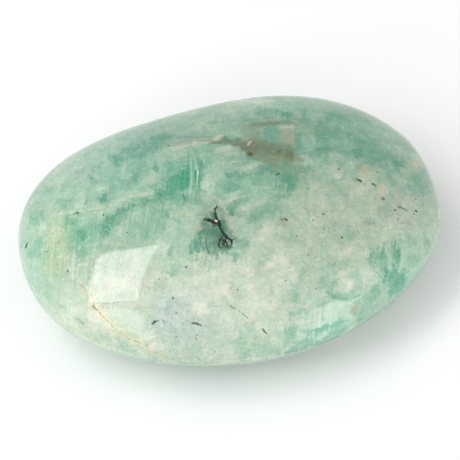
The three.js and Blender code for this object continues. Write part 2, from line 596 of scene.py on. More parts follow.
# Smaller patches, in the same columns
patches = {
    # far side, left of the seam
    "farLeftDusk": ((158, 142), (2.0, 1.1), 25, 0.5, 126),
    "farLeftBand": ((131, 153), (3.2, 1.2), 22, 0.6, 126),
    "farDent": ((190, 122), (3.0, 0.8), 12, 0.6, 156),
    "farPaleRim": ((238, 106), (2.6, 0.8), 5, 0.6, 172),
    "underSeamPale": ((176, 154), (3.0, 0.9), 10, 0.6, 160),
    "seamCream": ((177, 147), (1.2, 0.6), 20, 0.5, 176),
    # left shoulder
    "shoulderPale": ((70, 166), (2.4, 1.6), 40, 0.6, 174),
    "shoulderStripe": ((79, 202), (0.8, 1.6), 0, 0.6, 186),
    "shoulderGreen": ((62, 204), (1.2, 0.8), 20, 0.5, 150),
    "shoulderGreenUpper": ((72, 185), (1.6, 1.0), 35, 0.5, 161),
    "smokyDot": ((89, 180), (0.8, 0.6), 0, 0.5, 150),
    "leftCream": ((50, 223), (2.2, 1.5), 20, 0.5, 178),
    "leftCreamCore": ((44, 228), (0.7, 0.5), 0, 0.5, 194),
    "leftGreen": ((36, 220), (1.1, 0.8), 35, 0.5, 140),
    "leftYellow": ((52, 238), (2.2, 2.0), -20, 0.6, 183),
    "leftRimGreen": ((38, 251), (1.4, 1.6), 0, 0.5, 149),
    "leftRimGreenLow": ((55, 262), (0.5, 1.0), 0, 0.5, 166),
    # between the left shoulder and the teal block
    "tealDotHalo": ((103, 199), (1.8, 0.9), 10, 0.5, 160),
    "tealDot": ((104, 199), (0.8, 0.5), 10, 0.4, 130),
    "tealStripe": ((111, 186), (0.5, 1.6), 0, 0.5, 146),
    "tealCluster": ((124, 181), (1.9, 1.3), 20, 0.6, 146),
    "tealClusterCore": ((135, 177), (0.6, 0.9), 0, 0.5, 128),
    "tealChip": ((143, 167), (1.0, 0.5), 20, 0.5, 146),
    "tealChipRight": ((156, 167), (0.4, 0.8), 0, 0.5, 108),
    "palePocket": ((150, 180), (1.3, 0.7), 30, 0.5, 175),
    "paleUnderBlock": ((135, 195), (2.8, 0.7), 15, 0.5, 170),
    # the strongest teal, with combed edges
    "blockBody": ((176, 181), (2.1, 2.4), -15, 0.4, 106),
    "blockLobe": ((163, 193), (0.9, 0.9), 0, 0.4, 98),
    "blockShoulder": ((173, 167), (0.9, 0.9), 0, 0.5, 131),
    "blockCore": ((186, 178), (0.8, 2.3), -10, 0.4, 92),
    "blockRight": ((198, 174), (1.3, 3.2), 4, 0.5, 134),
    "blockRightCore": ((200, 164), (0.45, 1.3), 10, 0.5, 112),
    "blockRightFoot": ((200, 183), (0.4, 1.2), 0, 0.5, 100),
    "blockFringe": ((178, 199), (3.4, 0.9), 0, 0.6, 128),
    "fringeCore": ((198, 201), (0.7, 0.6), 0, 0.5, 130),
    "paleGap": ((209, 187), (1.0, 2.0), 0, 0.5, 180),
    # under the cream vein
    "veinTeal": ((140, 203), (1.9, 0.5), 15, 0.5, 112),
    "veinTealLeft": ((121, 214), (1.3, 0.9), 45, 0.5, 116),
    "veinTealLow": ((108, 225), (1.2, 1.7), -25, 0.5, 112),
    "greenPocket": ((170, 215), (1.2, 1.0), 0, 0.5, 114),
    "paleFan": ((185, 214), (2.3, 1.0), 5, 0.5, 182),
    "palePool": ((133, 214), (0.8, 0.7), 0, 0.5, 172),
    "palePoolLow": ((120, 231), (1.3, 0.9), 25, 0.5, 172),
    "greenColumns": ((145, 226), (3.2, 2.8), 0, 0.6, 157),
    "paleColumn": ((172, 229), (0.9, 1.7), 0, 0.5, 182),
    "paleColumnRight": ((190, 228), (0.9, 1.1), 0, 0.5, 178),
    "veinBed": ((88, 210), (3.6, 0.8), 8, 0.5, 176),
    "greenFlag": ((70, 226), (0.6, 1.5), 0, 0.5, 146),
    "greenFlagTip": ((77, 212), (0.5, 0.5), 0, 0.5, 164),
    "tealSail": ((83, 236), (2.2, 2.0), 20, 0.5, 148),
    "tealSailCore": ((81, 237), (0.6, 0.9), 0, 0.5, 120),
    "tealSailTail": ((78, 251), (0.8, 1.6), 10, 0.5, 134),
    "underReflection": ((125, 243), (5.0, 0.9), 8, 0.6, 168),
    # lower left
    "leftCreamBand": ((66, 277), (2.4, 1.2), -10, 0.6, 180),
    "leftCreamBright": ((75, 309), (1.9, 1.2), -30, 0.5, 206),
    "whitePatch": ((90, 317), (1.1, 1.0), 0, 0.5, 200),
    "reflectionBed": ((118, 285), (4.0, 3.0), 0, 0.6, 190),
    "reflectionBedTop": ((130, 258), (4.4, 1.4), 8, 0.6, 186),
    "lowerLeftRim": ((116, 343), (4.4, 1.3), -20, 0.6, 172),
    # lower middle
    "greenIsland": ((175, 272), (0.9, 0.9), 0, 0.5, 158),
    "greenIslandTop": ((170, 252), (0.5, 0.8), 0, 0.5, 152),
    "mossyStrip": ((186, 247), (1.6, 1.6), 0, 0.6, 170),
    "creamVeil": ((200, 288), (3.4, 2.0), 0, 0.6, 206),
    "blueHollow": ((170, 306), (0.6, 1.4), -8, 0.5, 172),
    "blueField": ((188, 336), (5.0, 3.2), 0, 0.6, 179),
    "creamBlock": ((201, 308), (1.2, 1.1), 0, 0.4, 206),
    "creamStem": ((222, 282), (1.2, 2.5), -10, 0.5, 214),
    "creamHeart": ((258, 299), (2.2, 2.6), -15, 0.5, 207),
    "creamHeartCore": ((256, 307), (0.5, 1.0), -20, 0.5, 214),
    "creamHeartFoot": ((270, 322), (2.0, 1.2), 10, 0.5, 198),
    "creamPatchUpper": ((279, 264), (1.5, 2.2), -10, 0.5, 207),
    "creamPatchRight": ((294, 276), (0.6, 1.0), 0, 0.5, 203),
    "creamPocket": ((265, 237), (0.9, 1.6), 0, 0.5, 197),
    "bottomGreen": ((243, 344), (1.6, 1.8), 15, 0.5, 168),
    "bottomGreenLow": ((243, 356), (0.6, 1.2), 0, 0.5, 168),
    "bottomGreenUpper": ((250, 327), (0.8, 0.8), 0, 0.5, 176),
    # round the black inclusion
    "haloTeal": ((214, 238), (2.9, 2.6), 0, 0.4, 130),
    "haloLeft": ((195, 242), (0.7, 0.6), 0, 0.4, 124),
    "haloCore": ((206, 228), (0.9, 0.9), 0, 0.4, 126),
    "haloCoreRight": ((214, 231), (0.7, 0.7), 0, 0.4, 118),
    "haloCoreLow": ((203, 236), (0.7, 0.8), 0, 0.4, 108),
    "haloFootLeft": ((219, 251), (1.1, 0.5), 0, 0.5, 134),
    "haloNest": ((231, 246), (1.1, 0.6), 0, 0.5, 120),
    "haloTop": ((214, 217), (0.6, 0.8), 0, 0.5, 98),
    "haloStem": ((223.4, 228), (0.4, 1.0), 0, 0.5, 88),
    "haloRight": ((243, 246), (0.7, 1.1), 0, 0.5, 150),
    "haloFoot": ((234, 255), (0.7, 0.9), 0, 0.6, 148),
    "haloPale": ((233, 224), (0.8, 0.8), 0, 0.5, 184),
    "haloPaleLow": ((237, 232), (0.6, 0.5), 0, 0.5, 176),
    "haloPaleLeft": ((205, 241), (0.5, 0.7), 0, 0.5, 152),
    # right of the block, as far as the tongue under the seam
    "tealRidge": ((240, 174), (2.6, 0.7), 4, 0.5, 124),
    "tealRidgeEnd": ((262, 172), (0.9, 1.0), 0, 0.5, 124),
    "tealPool": ((232, 187), (1.2, 1.0), 0, 0.5, 132),
    "tealPoolLow": ((230, 209), (0.8, 0.8), 0, 0.5, 116),
    "tealPoolSide": ((238, 203), (0.8, 0.5), 20, 0.5, 134),
    "creamFlow": ((232, 197), (1.4, 0.5), 25, 0.5, 178),
    "creamFlowRight": ((252, 205), (1.6, 0.5), 20, 0.5, 180),
    "creamFlowUpper": ((247, 167), (1.9, 0.4), 15, 0.5, 161),
    "greenTrail": ((268, 209), (2.6, 0.8), 20, 0.5, 145),
    "greenTrailFoot": ((250, 218), (0.8, 0.9), 0, 0.5, 142),
    "greenTuft": ((268, 186), (0.9, 0.6), 0, 0.5, 158),
    "tongue": ((284, 172), (2.6, 2.6), -10, 0.5, 127),
    "tongueTip": ((289, 184), (1.0, 1.5), 0, 0.5, 108),
    "tongueSide": ((283, 195), (1.2, 0.6), 0, 0.5, 135),
    # far side, round and right of the seam
    "farShade": ((269, 113), (1.9, 0.9), 5, 0.5, 122),
    "farShadeRight": ((286, 114), (1.0, 0.6), 0, 0.5, 101),
    "farShadeEnd": ((305, 110), (0.8, 0.5), 0, 0.5, 122),
    "farCrest": ((330, 125), (3.4, 2.4), -8, 0.5, 132),
    "farCrestCore": ((331, 118), (0.8, 0.8), 0, 0.5, 116),
    "farCrestLow": ((320, 131), (1.8, 1.0), 0, 0.5, 119),
    "farCrestRight": ((343, 118), (0.8, 0.6), 0, 0.5, 122),
    "seamBody": ((270, 152), (4.0, 1.4), -9, 0.35, 120),
    "seamBodyLeft": ((252, 153), (1.5, 1.0), -20, 0.4, 112),
    "seamBodyRight": ((291, 155), (1.3, 0.8), -25, 0.4, 108),
    "seamWedge": ((231, 141), (2.4, 0.6), -8, 0.4, 119),
    "seamBand": ((190, 141), (3.4, 0.5), 7, 0.6, 150),
    "seamUnder": ((229, 151.5), (2.0, 0.9), -6, 0.5, 168),
    "seamColumn": ((243, 132), (0.6, 1.2), 0, 0.5, 146),
    "seamStripes": ((257, 134), (0.9, 0.9), 0, 0.4, 136),
    "beigeBlock": ((287, 136), (1.1, 1.3), 0, 0.25, 150),
    "rightOfBlock": ((298, 141), (0.5, 1.3), 0, 0.5, 110),
    "farPaleNotch": ((307, 140), (0.9, 1.6), 0, 0.5, 152),
    "seamTail": ((305, 161), (1.3, 0.5), -25, 0.5, 186),
    "tealBar": ((322, 152), (1.6, 0.7), 18, 0.4, 116),
    "tealBarLeft": ((298, 143), (0.4, 1.0), 0, 0.5, 126),
    "paleStep": ((303, 160), (1.4, 0.7), -10, 0.5, 162),
    "tealDrop": ((345, 160), (0.6, 0.9), 0, 0.5, 152),
    "tealCloud": ((376, 151), (4.0, 2.0), -15, 0.5, 127),
    "tealCloudLeft": ((358, 155), (0.9, 0.8), 0, 0.5, 102),
    "tealCloudMiddle": ((382, 156), (0.7, 0.9), -20, 0.5, 118),
    "tealCloudRight": ((397, 163), (1.3, 0.8), 20, 0.5, 116),
    "tealCloudTail": ((391, 174), (0.7, 1.6), 0, 0.5, 150),
    "rightShoulder": ((394, 138), (3.0, 1.6), -38, 0.6, 160),
    "rightShoulderRim": ((417, 160), (0.8, 1.6), 25, 0.5, 178),
    "rightTeal": ((416, 183), (1.8, 1.9), 0, 0.6, 150),
    "rightTealCore": ((416, 180), (0.6, 0.9), 0, 0.5, 138),
    # right middle
    "paleBrow": ((335, 172), (2.5, 1.2), -25, 0.6, 175),
    "paleBrowCore": ((339, 177), (0.7, 0.4), -20, 0.5, 193),
    "greenWisp": ((341, 189), (1.0, 0.6), -35, 0.5, 165),
    "greenWispFoot": ((346, 199), (0.5, 1.3), 0, 0.5, 157),
    "creamDab": ((362, 190), (0.8, 0.8), 0, 0.5, 198),
    "creamDabRight": ((382, 189), (0.8, 0.8), 0, 0.5, 188),
    "creamDabMiddle": ((371, 206), (0.5, 1.6), 0, 0.5, 185),
    "creamDabLeft": ((320, 197), (0.8, 1.3), -10, 0.5, 186),
    "creamDabLow": ((300, 212), (0.6, 1.2), 0, 0.5, 186),
    "greenVeilRight": ((383, 216), (0.5, 2.0), 0, 0.5, 163),
    "greenVeil": ((367, 221), (0.7, 0.6), 0, 0.5, 158),
    "greenVeilLow": ((352, 233), (1.0, 0.9), 0, 0.5, 164),
    "greenVeilLeft": ((293, 237), (0.6, 0.5), 0, 0.5, 172),
    "creamRidge": ((398, 226), (1.9, 1.2), -10, 0.5, 192),
    "paleTrail": ((410, 205), (1.3, 0.4), -15, 0.5, 186),
    # lower right
    "greenEye": ((333, 262), (0.8, 0.8), 0, 0.5, 159),
    "creamDisc": ((345, 279), (1.2, 1.5), 0, 0.5, 198),
    "creamDiscCore": ((345, 281), (0.7, 0.5), 0, 0.5, 207),
    "creamArch": ((352, 254), (2.6, 0.9), 10, 0.5, 200),
    "creamWing": ((372, 277), (1.4, 1.8), -10, 0.5, 196),
    "greenDashUpper": ((331, 289), (0.5, 0.9), -20, 0.5, 160),
    "greenFleck": ((322, 283), (0.6, 1.0), 0, 0.5, 163),
    "greenFleckLow": ((294, 300), (0.8, 1.8), 0, 0.5, 162),
    "greenFleckFoot": ((291, 334), (0.7, 1.6), -10, 0.5, 154),
    # The next two are partly a pale streak in the rock and partly a painted reflection of the side lamp
    "mintStreakAndReflection": ((335, 310), (2.4, 1.2), 12, 0.4, 194),
    "mintStreakAndReflectionLeft": ((312, 321), (1.4, 0.8), 30, 0.4, 180),
    "turquoiseBar": ((318, 330), (1.3, 0.45), 15, 0.4, 140),
    "turquoiseFoot": ((337, 329), (1.2, 0.9), 25, 0.5, 148),
    "turquoiseRim": ((306, 345), (2.4, 0.7), 20, 0.5, 146),
    "greenArc": ((373, 298), (0.65, 1.8), -30, 0.4, 146),
    "greenArcFoot": ((364, 311), (1.3, 1.1), 30, 0.5, 158),
    "rightBlock": ((388, 263), (2.0, 3.0), 5, 0.4, 153),
    "rightBlockStripe": ((397, 258), (0.5, 2.6), 3, 0.4, 126),
    "rightBlockFoot": ((395, 277), (1.5, 1.8), 0, 0.4, 121),
    "rightBlockDot": ((373, 254), (0.6, 0.7), 0, 0.5, 148),
    "rightBlockDotInner": ((383, 255), (0.5, 0.6), 0, 0.5, 129),
    "rightBlockGap": ((390, 264), (0.4, 1.6), 0, 0.5, 176),
    "rimGreenRight": ((415, 261), (0.8, 1.1), 0, 0.5, 166),
    "rimStripe": ((408, 240), (0.4, 1.1), 0, 0.5, 161),
    "rimStripeRight": ((428, 250), (0.6, 1.8), 0, 0.5, 158),
    "rimPale": ((386, 294), (0.7, 0.9), 0, 0.5, 174),
    # over those, on all parts of the stone
    "greenDash": ((347, 295.5), (2.4, 0.55), 0, 0.5, 148),
    "haloShoulder": ((207, 218), (0.7, 0.6), 0, 0.5, 140),
    "paleGapTop": ((218, 171), (0.9, 1.6), 0, 0.5, 168),
    "windowShoulder": ((161, 248), (1.0, 1.1), 0, 0.5, 200),
    "paleShelf": ((368, 176), (1.6, 1.6), 0, 0.5, 178),
    "lowerGreen": ((272, 351), (3.4, 1.2), 12, 0.6, 166),
    "mintShade": ((299, 314), (1.2, 1.6), 0, 0.5, 160),
    "windowEdge": ((90, 268), (0.5, 1.5), -12, 0.5, 164),
    "columnShade": ((150, 235), (0.9, 0.7), 0, 0.5, 150),
    "tipPale": ((219, 202), (1.0, 0.6), 0, 0.5, 194),
    "haloFootPale": ((226, 258), (0.7, 0.5), 0, 0.5, 188),
    "haloLeftLow": ((195, 249), (0.7, 0.8), 0, 0.4, 128),
    "barPale": ((335, 157), (1.0, 0.6), 0, 0.5, 166),
    "ridgeShade": ((258, 181), (0.9, 1.0), 0, 0.5, 140),
    "lowWindowBed": ((127, 323), (3.0, 2.2), -20, 0.5, 188),
    "windowGap": ((122, 305.4), (2.2, 0.4), 0, 0.5, 204),
    "arcPale": ((364, 290), (0.6, 1.3), -40, 0.4, 194),
    "arcPaleTop": ((377, 273), (0.8, 0.9), 0, 0.5, 176),
    "chipPale": ((166, 174), (0.9, 0.7), 0, 0.5, 152),
    "blockTopPale": ((182, 162), (0.8, 0.6), 0, 0.5, 150),
    "islandShade": ((166, 287), (0.9, 0.9), 0, 0.5, 176),
    "yellowShade": ((69, 256), (0.8, 1.4), 0, 0.5, 170),
    "haloLeftPale": ((195, 228), (0.8, 0.8), 0, 0.5, 170),
    "lowWindowSide": ((147, 333), (1.0, 1.2), 0, 0.5, 208),
    "lowerMiddleStrip": ((237, 323), (0.7, 1.5), 0, 0.5, 202),
    "yellowShadeTop": ((71, 244), (0.7, 1.1), 0, 0.5, 140),
    "shoulderLeftPale": ((46, 186), (0.9, 0.8), 0, 0.5, 170),
    "veinUnderPale": ((87, 218), (1.0, 0.7), 0, 0.5, 166),
    "veinMiddlePale": ((111, 210), (0.8, 0.5), 0, 0.5, 170),
    "middlePale": ((102, 190), (0.8, 0.6), 0, 0.5, 172),
    "flowShade": ((303, 180), (0.9, 1.0), 0, 0.5, 148),
    "dabPale": ((371, 190), (0.6, 0.8), 0, 0.5, 190),
    "cloudDrip": ((359, 166), (0.6, 1.0), 0, 0.5, 140),
    "footShade": ((399, 288), (1.6, 0.8), 40, 0.5, 122),
    "windowFoot": ((95, 303), (0.9, 0.6), -30, 0.5, 222),
    # Painted shade along the bottom rim, where the stone meets the floor
    "bottomRimPaintedShade": ((185, 361), (5.0, 0.6), 0, 0.5, 166),
    "lowWindowFoot": ((158, 347), (0.9, 0.7), 0, 0.5, 212),
    "ridgePale": ((228, 165), (1.2, 0.5), 10, 0.5, 172),
    "mossyStripFoot": ((187, 269), (0.9, 0.8), 0, 0.5, 178),
    "whitePatchLow": ((103, 328), (1.3, 0.9), -30, 0.5, 197),
    "veilShade": ((214, 266), (0.9, 0.7), 0, 0.5, 184),
    # Painted shade on the left rim
    "leftRimShade": ((32, 285), (0.8, 1.2), 30, 0.5, 160),
    "smokyCloud": ((101, 166), (1.0, 0.6), 20, 0.5, 146),
    "farDentPale": ((206, 128), (1.6, 0.6), 8, 0.5, 172),
    "heartShade": ((265, 256), (0.8, 1.0), 0, 0.5, 170),
    "rimGreenLow": ((300, 349.5), (3.0, 0.4), 16, 0.5, 130),
    "lowWindowRight": ((151, 316), (0.8, 1.4), 0, 0.5, 182),
    "brownShade": ((282, 223), (0.7, 0.6), 0, 0.5, 158),
    "panelShade": ((323, 303), (0.9, 0.7), 0, 0.5, 162),
    "creaseShade": ((84, 276), (0.8, 1.1), 0, 0.5, 170),
    "islandSide": ((165, 267), (0.7, 0.7), 0, 0.5, 176),
    "windowCorner": ((101, 248), (0.9, 0.6), 0, 0.5, 150),
    "cloudPocket": ((351, 168), (0.7, 0.9), 0, 0.5, 178),
    "farCrestPale": ((314, 117), (1.0, 0.7), 0, 0.5, 158),
    "veilPale": ((380, 237), (1.0, 1.0), 0, 0.5, 187),
    "panelFoot": ((344, 328), (1.0, 0.5), 25, 0.5, 164),
    "bottomPale": ((190, 360), (1.6, 0.4), 0, 0.5, 186),
    "farRimPale": ((258, 101), (2.6, 0.5), 0, 0.5, 190),
    "rimGreenSide": ((332, 337.5), (3.6, 0.4), 27, 0.5, 136),
    "lowerLeftShade": ((74, 328), (1.0, 0.8), -40, 0.5, 188),
    "stripPale": ((222, 328), (0.7, 0.8), 0, 0.5, 196),
}

# Where the hue strays from its usual run: red, green and blue are multiplied by the last three.
# The columns before them are as above.
tints = {
    "leftMint": ((110, 215), (14, 10), 20, 0.7, (1.0, 1.05, 1.03)),
    "upperLeftMint": ((110, 155), (10, 4), 25, 0.7, (1.0, 1.05, 1.1)),
    "rightGrey": ((345, 215), (14, 9), -10, 0.7, (1.0, 0.945, 0.935)),
    "lowerRightMint": ((372, 300), (10, 5), 42, 0.6, (1.0, 1.1, 1.08)),
    "turquoise": ((322, 332), (4.5, 1.4), 22, 0.6, (1.0, 1.12, 1.14)),
    "rimMint": ((30, 255), (3, 6), 0, 0.7, (1.0, 1.05, 1.06)),
    "leftYellow": ((56, 248), (1.8, 4.6), -5, 0.7, (1.03, 0.985, 0.88)),
    "tealSail": ((80, 235), (2.4, 2.4), 10, 0.6, (0.96, 1.06, 1.01)),
    "blockGreen": ((180, 180), (2.6, 2.6), 0, 0.6, (0.94, 1.05, 1.02)),
    "bluePool": ((183, 328), (5.5, 5.0), -20, 0.7, (0.99, 0.965, 1.045)),
    "bluePoolTop": ((168, 310), (2.0, 3.0), -20, 0.7, (0.98, 1.0, 1.06)),
    "peachHaze": ((118, 328), (5.5, 1.0), -38, 0.8, (1.06, 0.98, 0.92)),
    "rightDusk": ((407, 212), (3.4, 2.4), -40, 0.7, (1.0, 0.93, 1.0)),
    "inclusionDusk": ((214, 227), (2.8, 3.6), 0, 0.6, (1.0, 0.85, 0.86)),
    "rightFootMint": ((398, 284), (2.2, 2.6), 0, 0.6, (1.0, 1.09, 1.09)),
    "farMiddleDusk": ((268, 118), (5.0, 1.4), 3, 0.6, (1.0, 0.95, 0.95)),
    "tongueOlive": ((290, 166), (3.2, 1.4), -32, 0.7, (1.0, 0.92, 0.85)),
    "brownSmear": ((284, 224), (0.7, 0.7), 0, 0.6, (1.04, 0.9, 0.8)),
    "brownDash": ((234, 288), (1.2, 0.35), -45, 0.6, (0.98, 0.9, 0.84)),
    "peachFoot": ((258, 342), (0.9, 0.6), 20, 0.6, (1.06, 0.96, 0.9)),
    "creamWarm": ((258, 300), (3.4, 4.0), -10, 0.7, (1.0, 0.985, 0.965)),
    "shoulderDusk": ((88, 172), (3.2, 1.5), 25, 0.7, (1.02, 0.96, 0.97)),
    "crestDusk": ((322, 127), (2.6, 1.2), 5, 0.6, (1.0, 0.95, 0.92)),
    "windowBed": ((120, 273), (5.0, 4.6), 5, 0.6, (1.03, 0.935, 0.945)),
    "rightFlankMint": ((425, 250), (2.8, 6.4), -10, 0.6, (1.0, 1.09, 1.06)),
    "blockMint": ((200, 166), (1.6, 2.4), 0, 0.6, (0.97, 1.04, 1.02)),
    "ridgeMint": ((244, 186), (4.2, 1.8), 0, 0.7, (0.975, 1.045, 1.02)),
    "shelfDusk": ((368, 172), (1.8, 2.0), 0, 0.6, (1.02, 0.965, 0.95)),
    "farDusk": ((172, 134), (6.5, 2.6), 12, 0.7, (1.0, 0.955, 0.965)),
    "bottomMint": ((270, 347), (4.5, 1.6), 12, 0.6, (0.99, 1.03, 1.02)),
    "farRimMint": ((275, 106), (5, 1.4), 3, 0.7, (1.0, 1.05, 1.05)),
    "cornerDusk": ((305, 128), (2.0, 1.6), 0, 0.6, (1.0, 0.96, 0.95)),
    "underSeamDusk": ((238, 155), (2.4, 0.8), -20, 0.6, (1.0, 0.955, 0.955)),
    "leftWarmth": ((58, 262), (2.6, 4.6), 0, 0.7, (1.02, 0.978, 0.965)),
    # A painted shade tint along the bottom rim, where the stone meets the floor
    "bottomPaintedShadeTint": ((185, 360), (6.0, 0.9), 0, 0.6, (1.0, 0.955, 0.975)),
    "lowerLeftWarmth": ((92, 327), (3.2, 2.2), -35, 0.7, (1.02, 0.98, 0.97)),
    "bottomWarmth": ((185, 338), (6.5, 4.0), 0, 0.7, (1.012, 0.984, 0.99)),
    "rightBlockMint": ((388, 254), (2.2, 4.0), 0, 0.7, (0.975, 1.03, 1.015)),
    "rightEndMint": ((421, 187), (1.8, 2.2), 0, 0.7, (1.0, 1.03, 1.05)),
    "seamDusk": ((275, 138), (3.2, 2.0), 0, 0.7, (1.02, 0.97, 0.96)),
}

# Lines: pixels they run through, half width at start and end, softness, tone, strength
lines = {
    "creamVein": (
        [(50, 216), (63, 213), (84, 211), (106, 208), (112, 204), (124, 198), (137, 195), (151, 193)],
        (0.22, 0.32), 0.7, (200, 215, 190), 0.7,
    ),
    "creamVeinEdge": ([(110, 211), (124, 205), (140, 201)], (0.12, 0.1), 0.7, (206, 216, 192), 0.5),
    "veinShadow": (
        [(89, 211.5), (97, 210.3), (103, 209.5), (109, 206.8)],
        (0.07, 0.06), 0.7, (128, 144, 112), 0.75,
    ),
    "peachThread": ([(173, 216), (180, 214), (188, 212.5)], (0.12, 0.07), 0.7, (224, 196, 160), 0.6),
    "creamThread": ([(228, 200), (245, 196), (262, 193)], (0.2, 0.12), 0.8, (204, 214, 190), 0.4),
    "seamThread": (
        [(165, 149.5), (170, 148), (178, 146.6), (188, 145), (198, 143.4), (208, 142.5)],
        (0.18, 0.14), 0.8, (206, 206, 182), 0.8,
    ),
    "seamTopShade": (
        [(177, 138.4), (190, 137), (202, 137), (212, 136.5)],
        (0.1, 0.1), 0.8, (128, 140, 118), 0.5,
    ),
    "seamUnderShade": (
        [(210, 143), (222, 143.6), (234, 145), (246, 150), (254, 158.6), (264, 162)],
        (0.12, 0.2), 0.8, (104, 124, 100), 0.6,
    ),
    "farCrack": (
        [(216, 122.5), (232, 121), (247, 120), (262, 119), (280, 118.5), (292, 119), (306, 119.5)],
        (0.14, 0.18), 0.9, (112, 132, 112), 0.4,
    ),
    "farCrackEnd": ([(302, 135), (311, 133)], (0.05, 0.04), 0.6, (78, 100, 84), 0.7),
    "seamGlint": (
        [(248, 145), (249.6, 142.4), (251.4, 141.4)],
        (0.17, 0.13), 0.8, (214, 208, 188), 0.75,
    ),
    "seamCreamDash": ([(256, 129.5), (263, 129)], (0.1, 0.08), 0.7, (190, 182, 156), 0.7),
    "upperDash": ([(221, 122.3), (224, 121.5)], (0.1, 0.08), 0.6, (86, 112, 94), 0.7),
    "darkDash": ([(356, 178.6), (358.5, 179.8), (361, 181.2)], (0.11, 0.18), 0.6, (46, 62, 54), 0.92),
    "darkDashFaint": ([(352.5, 179), (357, 181.5)], (0.06, 0.06), 0.6, (90, 104, 90), 0.6),
    "darkDashRight": ([(372.2, 183.6), (375.4, 185.4)], (0.14, 0.12), 0.6, (58, 74, 64), 0.9),
    "blueDash": ([(398, 206.5), (402, 208), (407, 210.5)], (0.13, 0.1), 0.6, (92, 110, 106), 0.85),
    "faintDash": ([(399.5, 223.5), (405, 222.5), (412, 225)], (0.07, 0.07), 0.6, (110, 124, 112), 0.6),
    "fineArc": (
        [(372, 220), (376, 227), (385, 231), (395, 230)],
        (0.07, 0.05), 0.7, (140, 150, 124), 0.5,
    ),
    "hookMark": ([(280.7, 220), (285, 218.6), (287.3, 220.5)], (0.07, 0.12), 0.5, (50, 58, 46), 0.9),
    "scratch": ([(304.2, 201.5), (306.5, 209), (309.5, 217.6)], (0.06, 0.08), 0.6, (132, 148, 136), 0.6),
    "brownThread": (
        [(222, 302.5), (231, 306), (238, 310), (245.5, 316), (249, 319)],
        (0.05, 0.06), 0.6, (122, 116, 88), 0.75,
    ),
    "lowHook": ([(262.8, 329), (264.5, 332), (267, 333.7)], (0.11, 0.08), 0.5, (48, 58, 48), 0.9),
    "rimDash": ([(25.9, 247.4), (26.4, 245), (27.6, 242.6)], (0.22, 0.13), 0.5, (54, 66, 58), 0.95),
    "lowDashLeft": ([(153, 323.4), (155, 321.6), (158.2, 320.6)], (0.2, 0.11), 0.6, (74, 86, 80), 0.9),
    "lowDashRight": (
        [(192.6, 323), (196.5, 323.4), (200.6, 325.3)],
        (0.15, 0.16), 0.7, (78, 90, 84), 0.88,
    ),
    "blueDashFoot": ([(196.5, 357.5), (200, 360)], (0.1, 0.08), 0.6, (110, 126, 134), 0.7),
    "brownDashEnd": ([(229.5, 305.5), (235, 308.8)], (0.07, 0.07), 0.6, (96, 100, 82), 0.6),
    "edgeNotch": ([(279, 96.5), (284, 95.8), (288, 96.2)], (0.1, 0.1), 0.6, (104, 132, 110), 0.6),
    # pale leaves beside the strongest teal
    "paleLeafOne": (
        [(190.8, 162), (191.3, 177), (190.8, 193)],
        (0.12, 0.1), 0.7, (176, 214, 190), 0.75,
    ),
    "paleLeafTwo": ([(194.8, 158), (196.2, 165), (198, 173)], (0.08, 0.1), 0.7, (200, 226, 206), 0.65),
    "paleLeafThree": (
        [(197.9, 171.5), (197, 179), (197.4, 185)],
        (0.13, 0.08), 0.8, (208, 232, 214), 0.75,
    ),
    "paleLeafFour": (
        [(204, 160), (206, 172), (207.6, 184), (208.2, 195)],
        (0.1, 0.16), 0.8, (196, 222, 202), 0.65,
    ),
    "paleLeafFive": ([(208.5, 165), (212, 180), (211.5, 192)], (0.16, 0.16), 0.8, (188, 214, 194), 0.4),
    "paleLeafBlock": ([(181, 168), (180, 178)], (0.08, 0.06), 0.8, (150, 204, 178), 0.45),
    # across the other teal patches and beside them
    "rightLeafOne": ([(399.5, 242), (398, 270)], (0.1, 0.08), 0.8, (176, 214, 190), 0.4),
    "rightLeafTwo": ([(387, 250), (391, 268)], (0.14, 0.1), 0.8, (184, 214, 190), 0.45),
    "ridgePale": (
        [(224, 177), (229, 180), (234, 182), (241, 184)],
        (0.13, 0.1), 0.9, (180, 206, 186), 0.6,
    ),
    "ridgeUpper": (
        [(229, 167), (240, 170), (250, 168.8), (256, 166), (262, 162)],
        (0.13, 0.12), 0.8, (180, 200, 182), 0.6,
    ),
    "ridgeTop": ([(238, 161.5), (250, 160), (262, 161)], (0.22, 0.2), 0.9, (172, 194, 174), 0.45),
    "ridgeMark": ([(232.6, 164.2), (237.5, 163.4)], (0.13, 0.1), 0.7, (116, 148, 128), 0.7),
    "blockScribble": ([(183, 193.6), (184.4, 197), (185, 200.4)], (0.08, 0.06), 0.6, (66, 106, 88), 0.8),
    "blockScribbleLeft": (
        [(158, 192), (160.8, 195.5), (159.6, 199), (162, 203)],
        (0.1, 0.08), 0.7, (88, 134, 112), 0.6,
    ),
    "blockShade": ([(195, 172), (195.6, 177), (195, 182)], (0.13, 0.08), 0.7, (62, 132, 104), 0.75),
    "veinScribble": (
        [(57.2, 212.8), (59, 210.8), (60.6, 209.4)],
        (0.06, 0.05), 0.6, (112, 142, 124), 0.7,
    ),
    "veinScribbleRight": (
        [(84.4, 204.6), (86.2, 201), (88, 199.4)],
        (0.07, 0.06), 0.7, (116, 148, 130), 0.65,
    ),
    "smokyScribble": ([(88.4, 174.6), (90, 178), (93.6, 179)], (0.1, 0.08), 0.8, (128, 150, 132), 0.7),
    "smokyScribbleLow": ([(90, 182), (93, 179.6)], (0.08, 0.08), 0.8, (128, 150, 132), 0.6),
    "mintBar": ([(322, 303), (322.4, 319)], (0.14, 0.1), 0.8, (140, 192, 164), 0.6),
    "greenRidgeLine": (
        [(327, 292), (334, 297.6), (343, 299.4), (352, 298.4), (361, 294)],
        (0.3, 0.16), 0.8, (116, 176, 146), 0.7,
    ),
    "blockFoot": (
        [(196.8, 334.8), (195.4, 337), (197.4, 339.4)],
        (0.09, 0.09), 0.7, (112, 126, 118), 0.7,
    ),
}

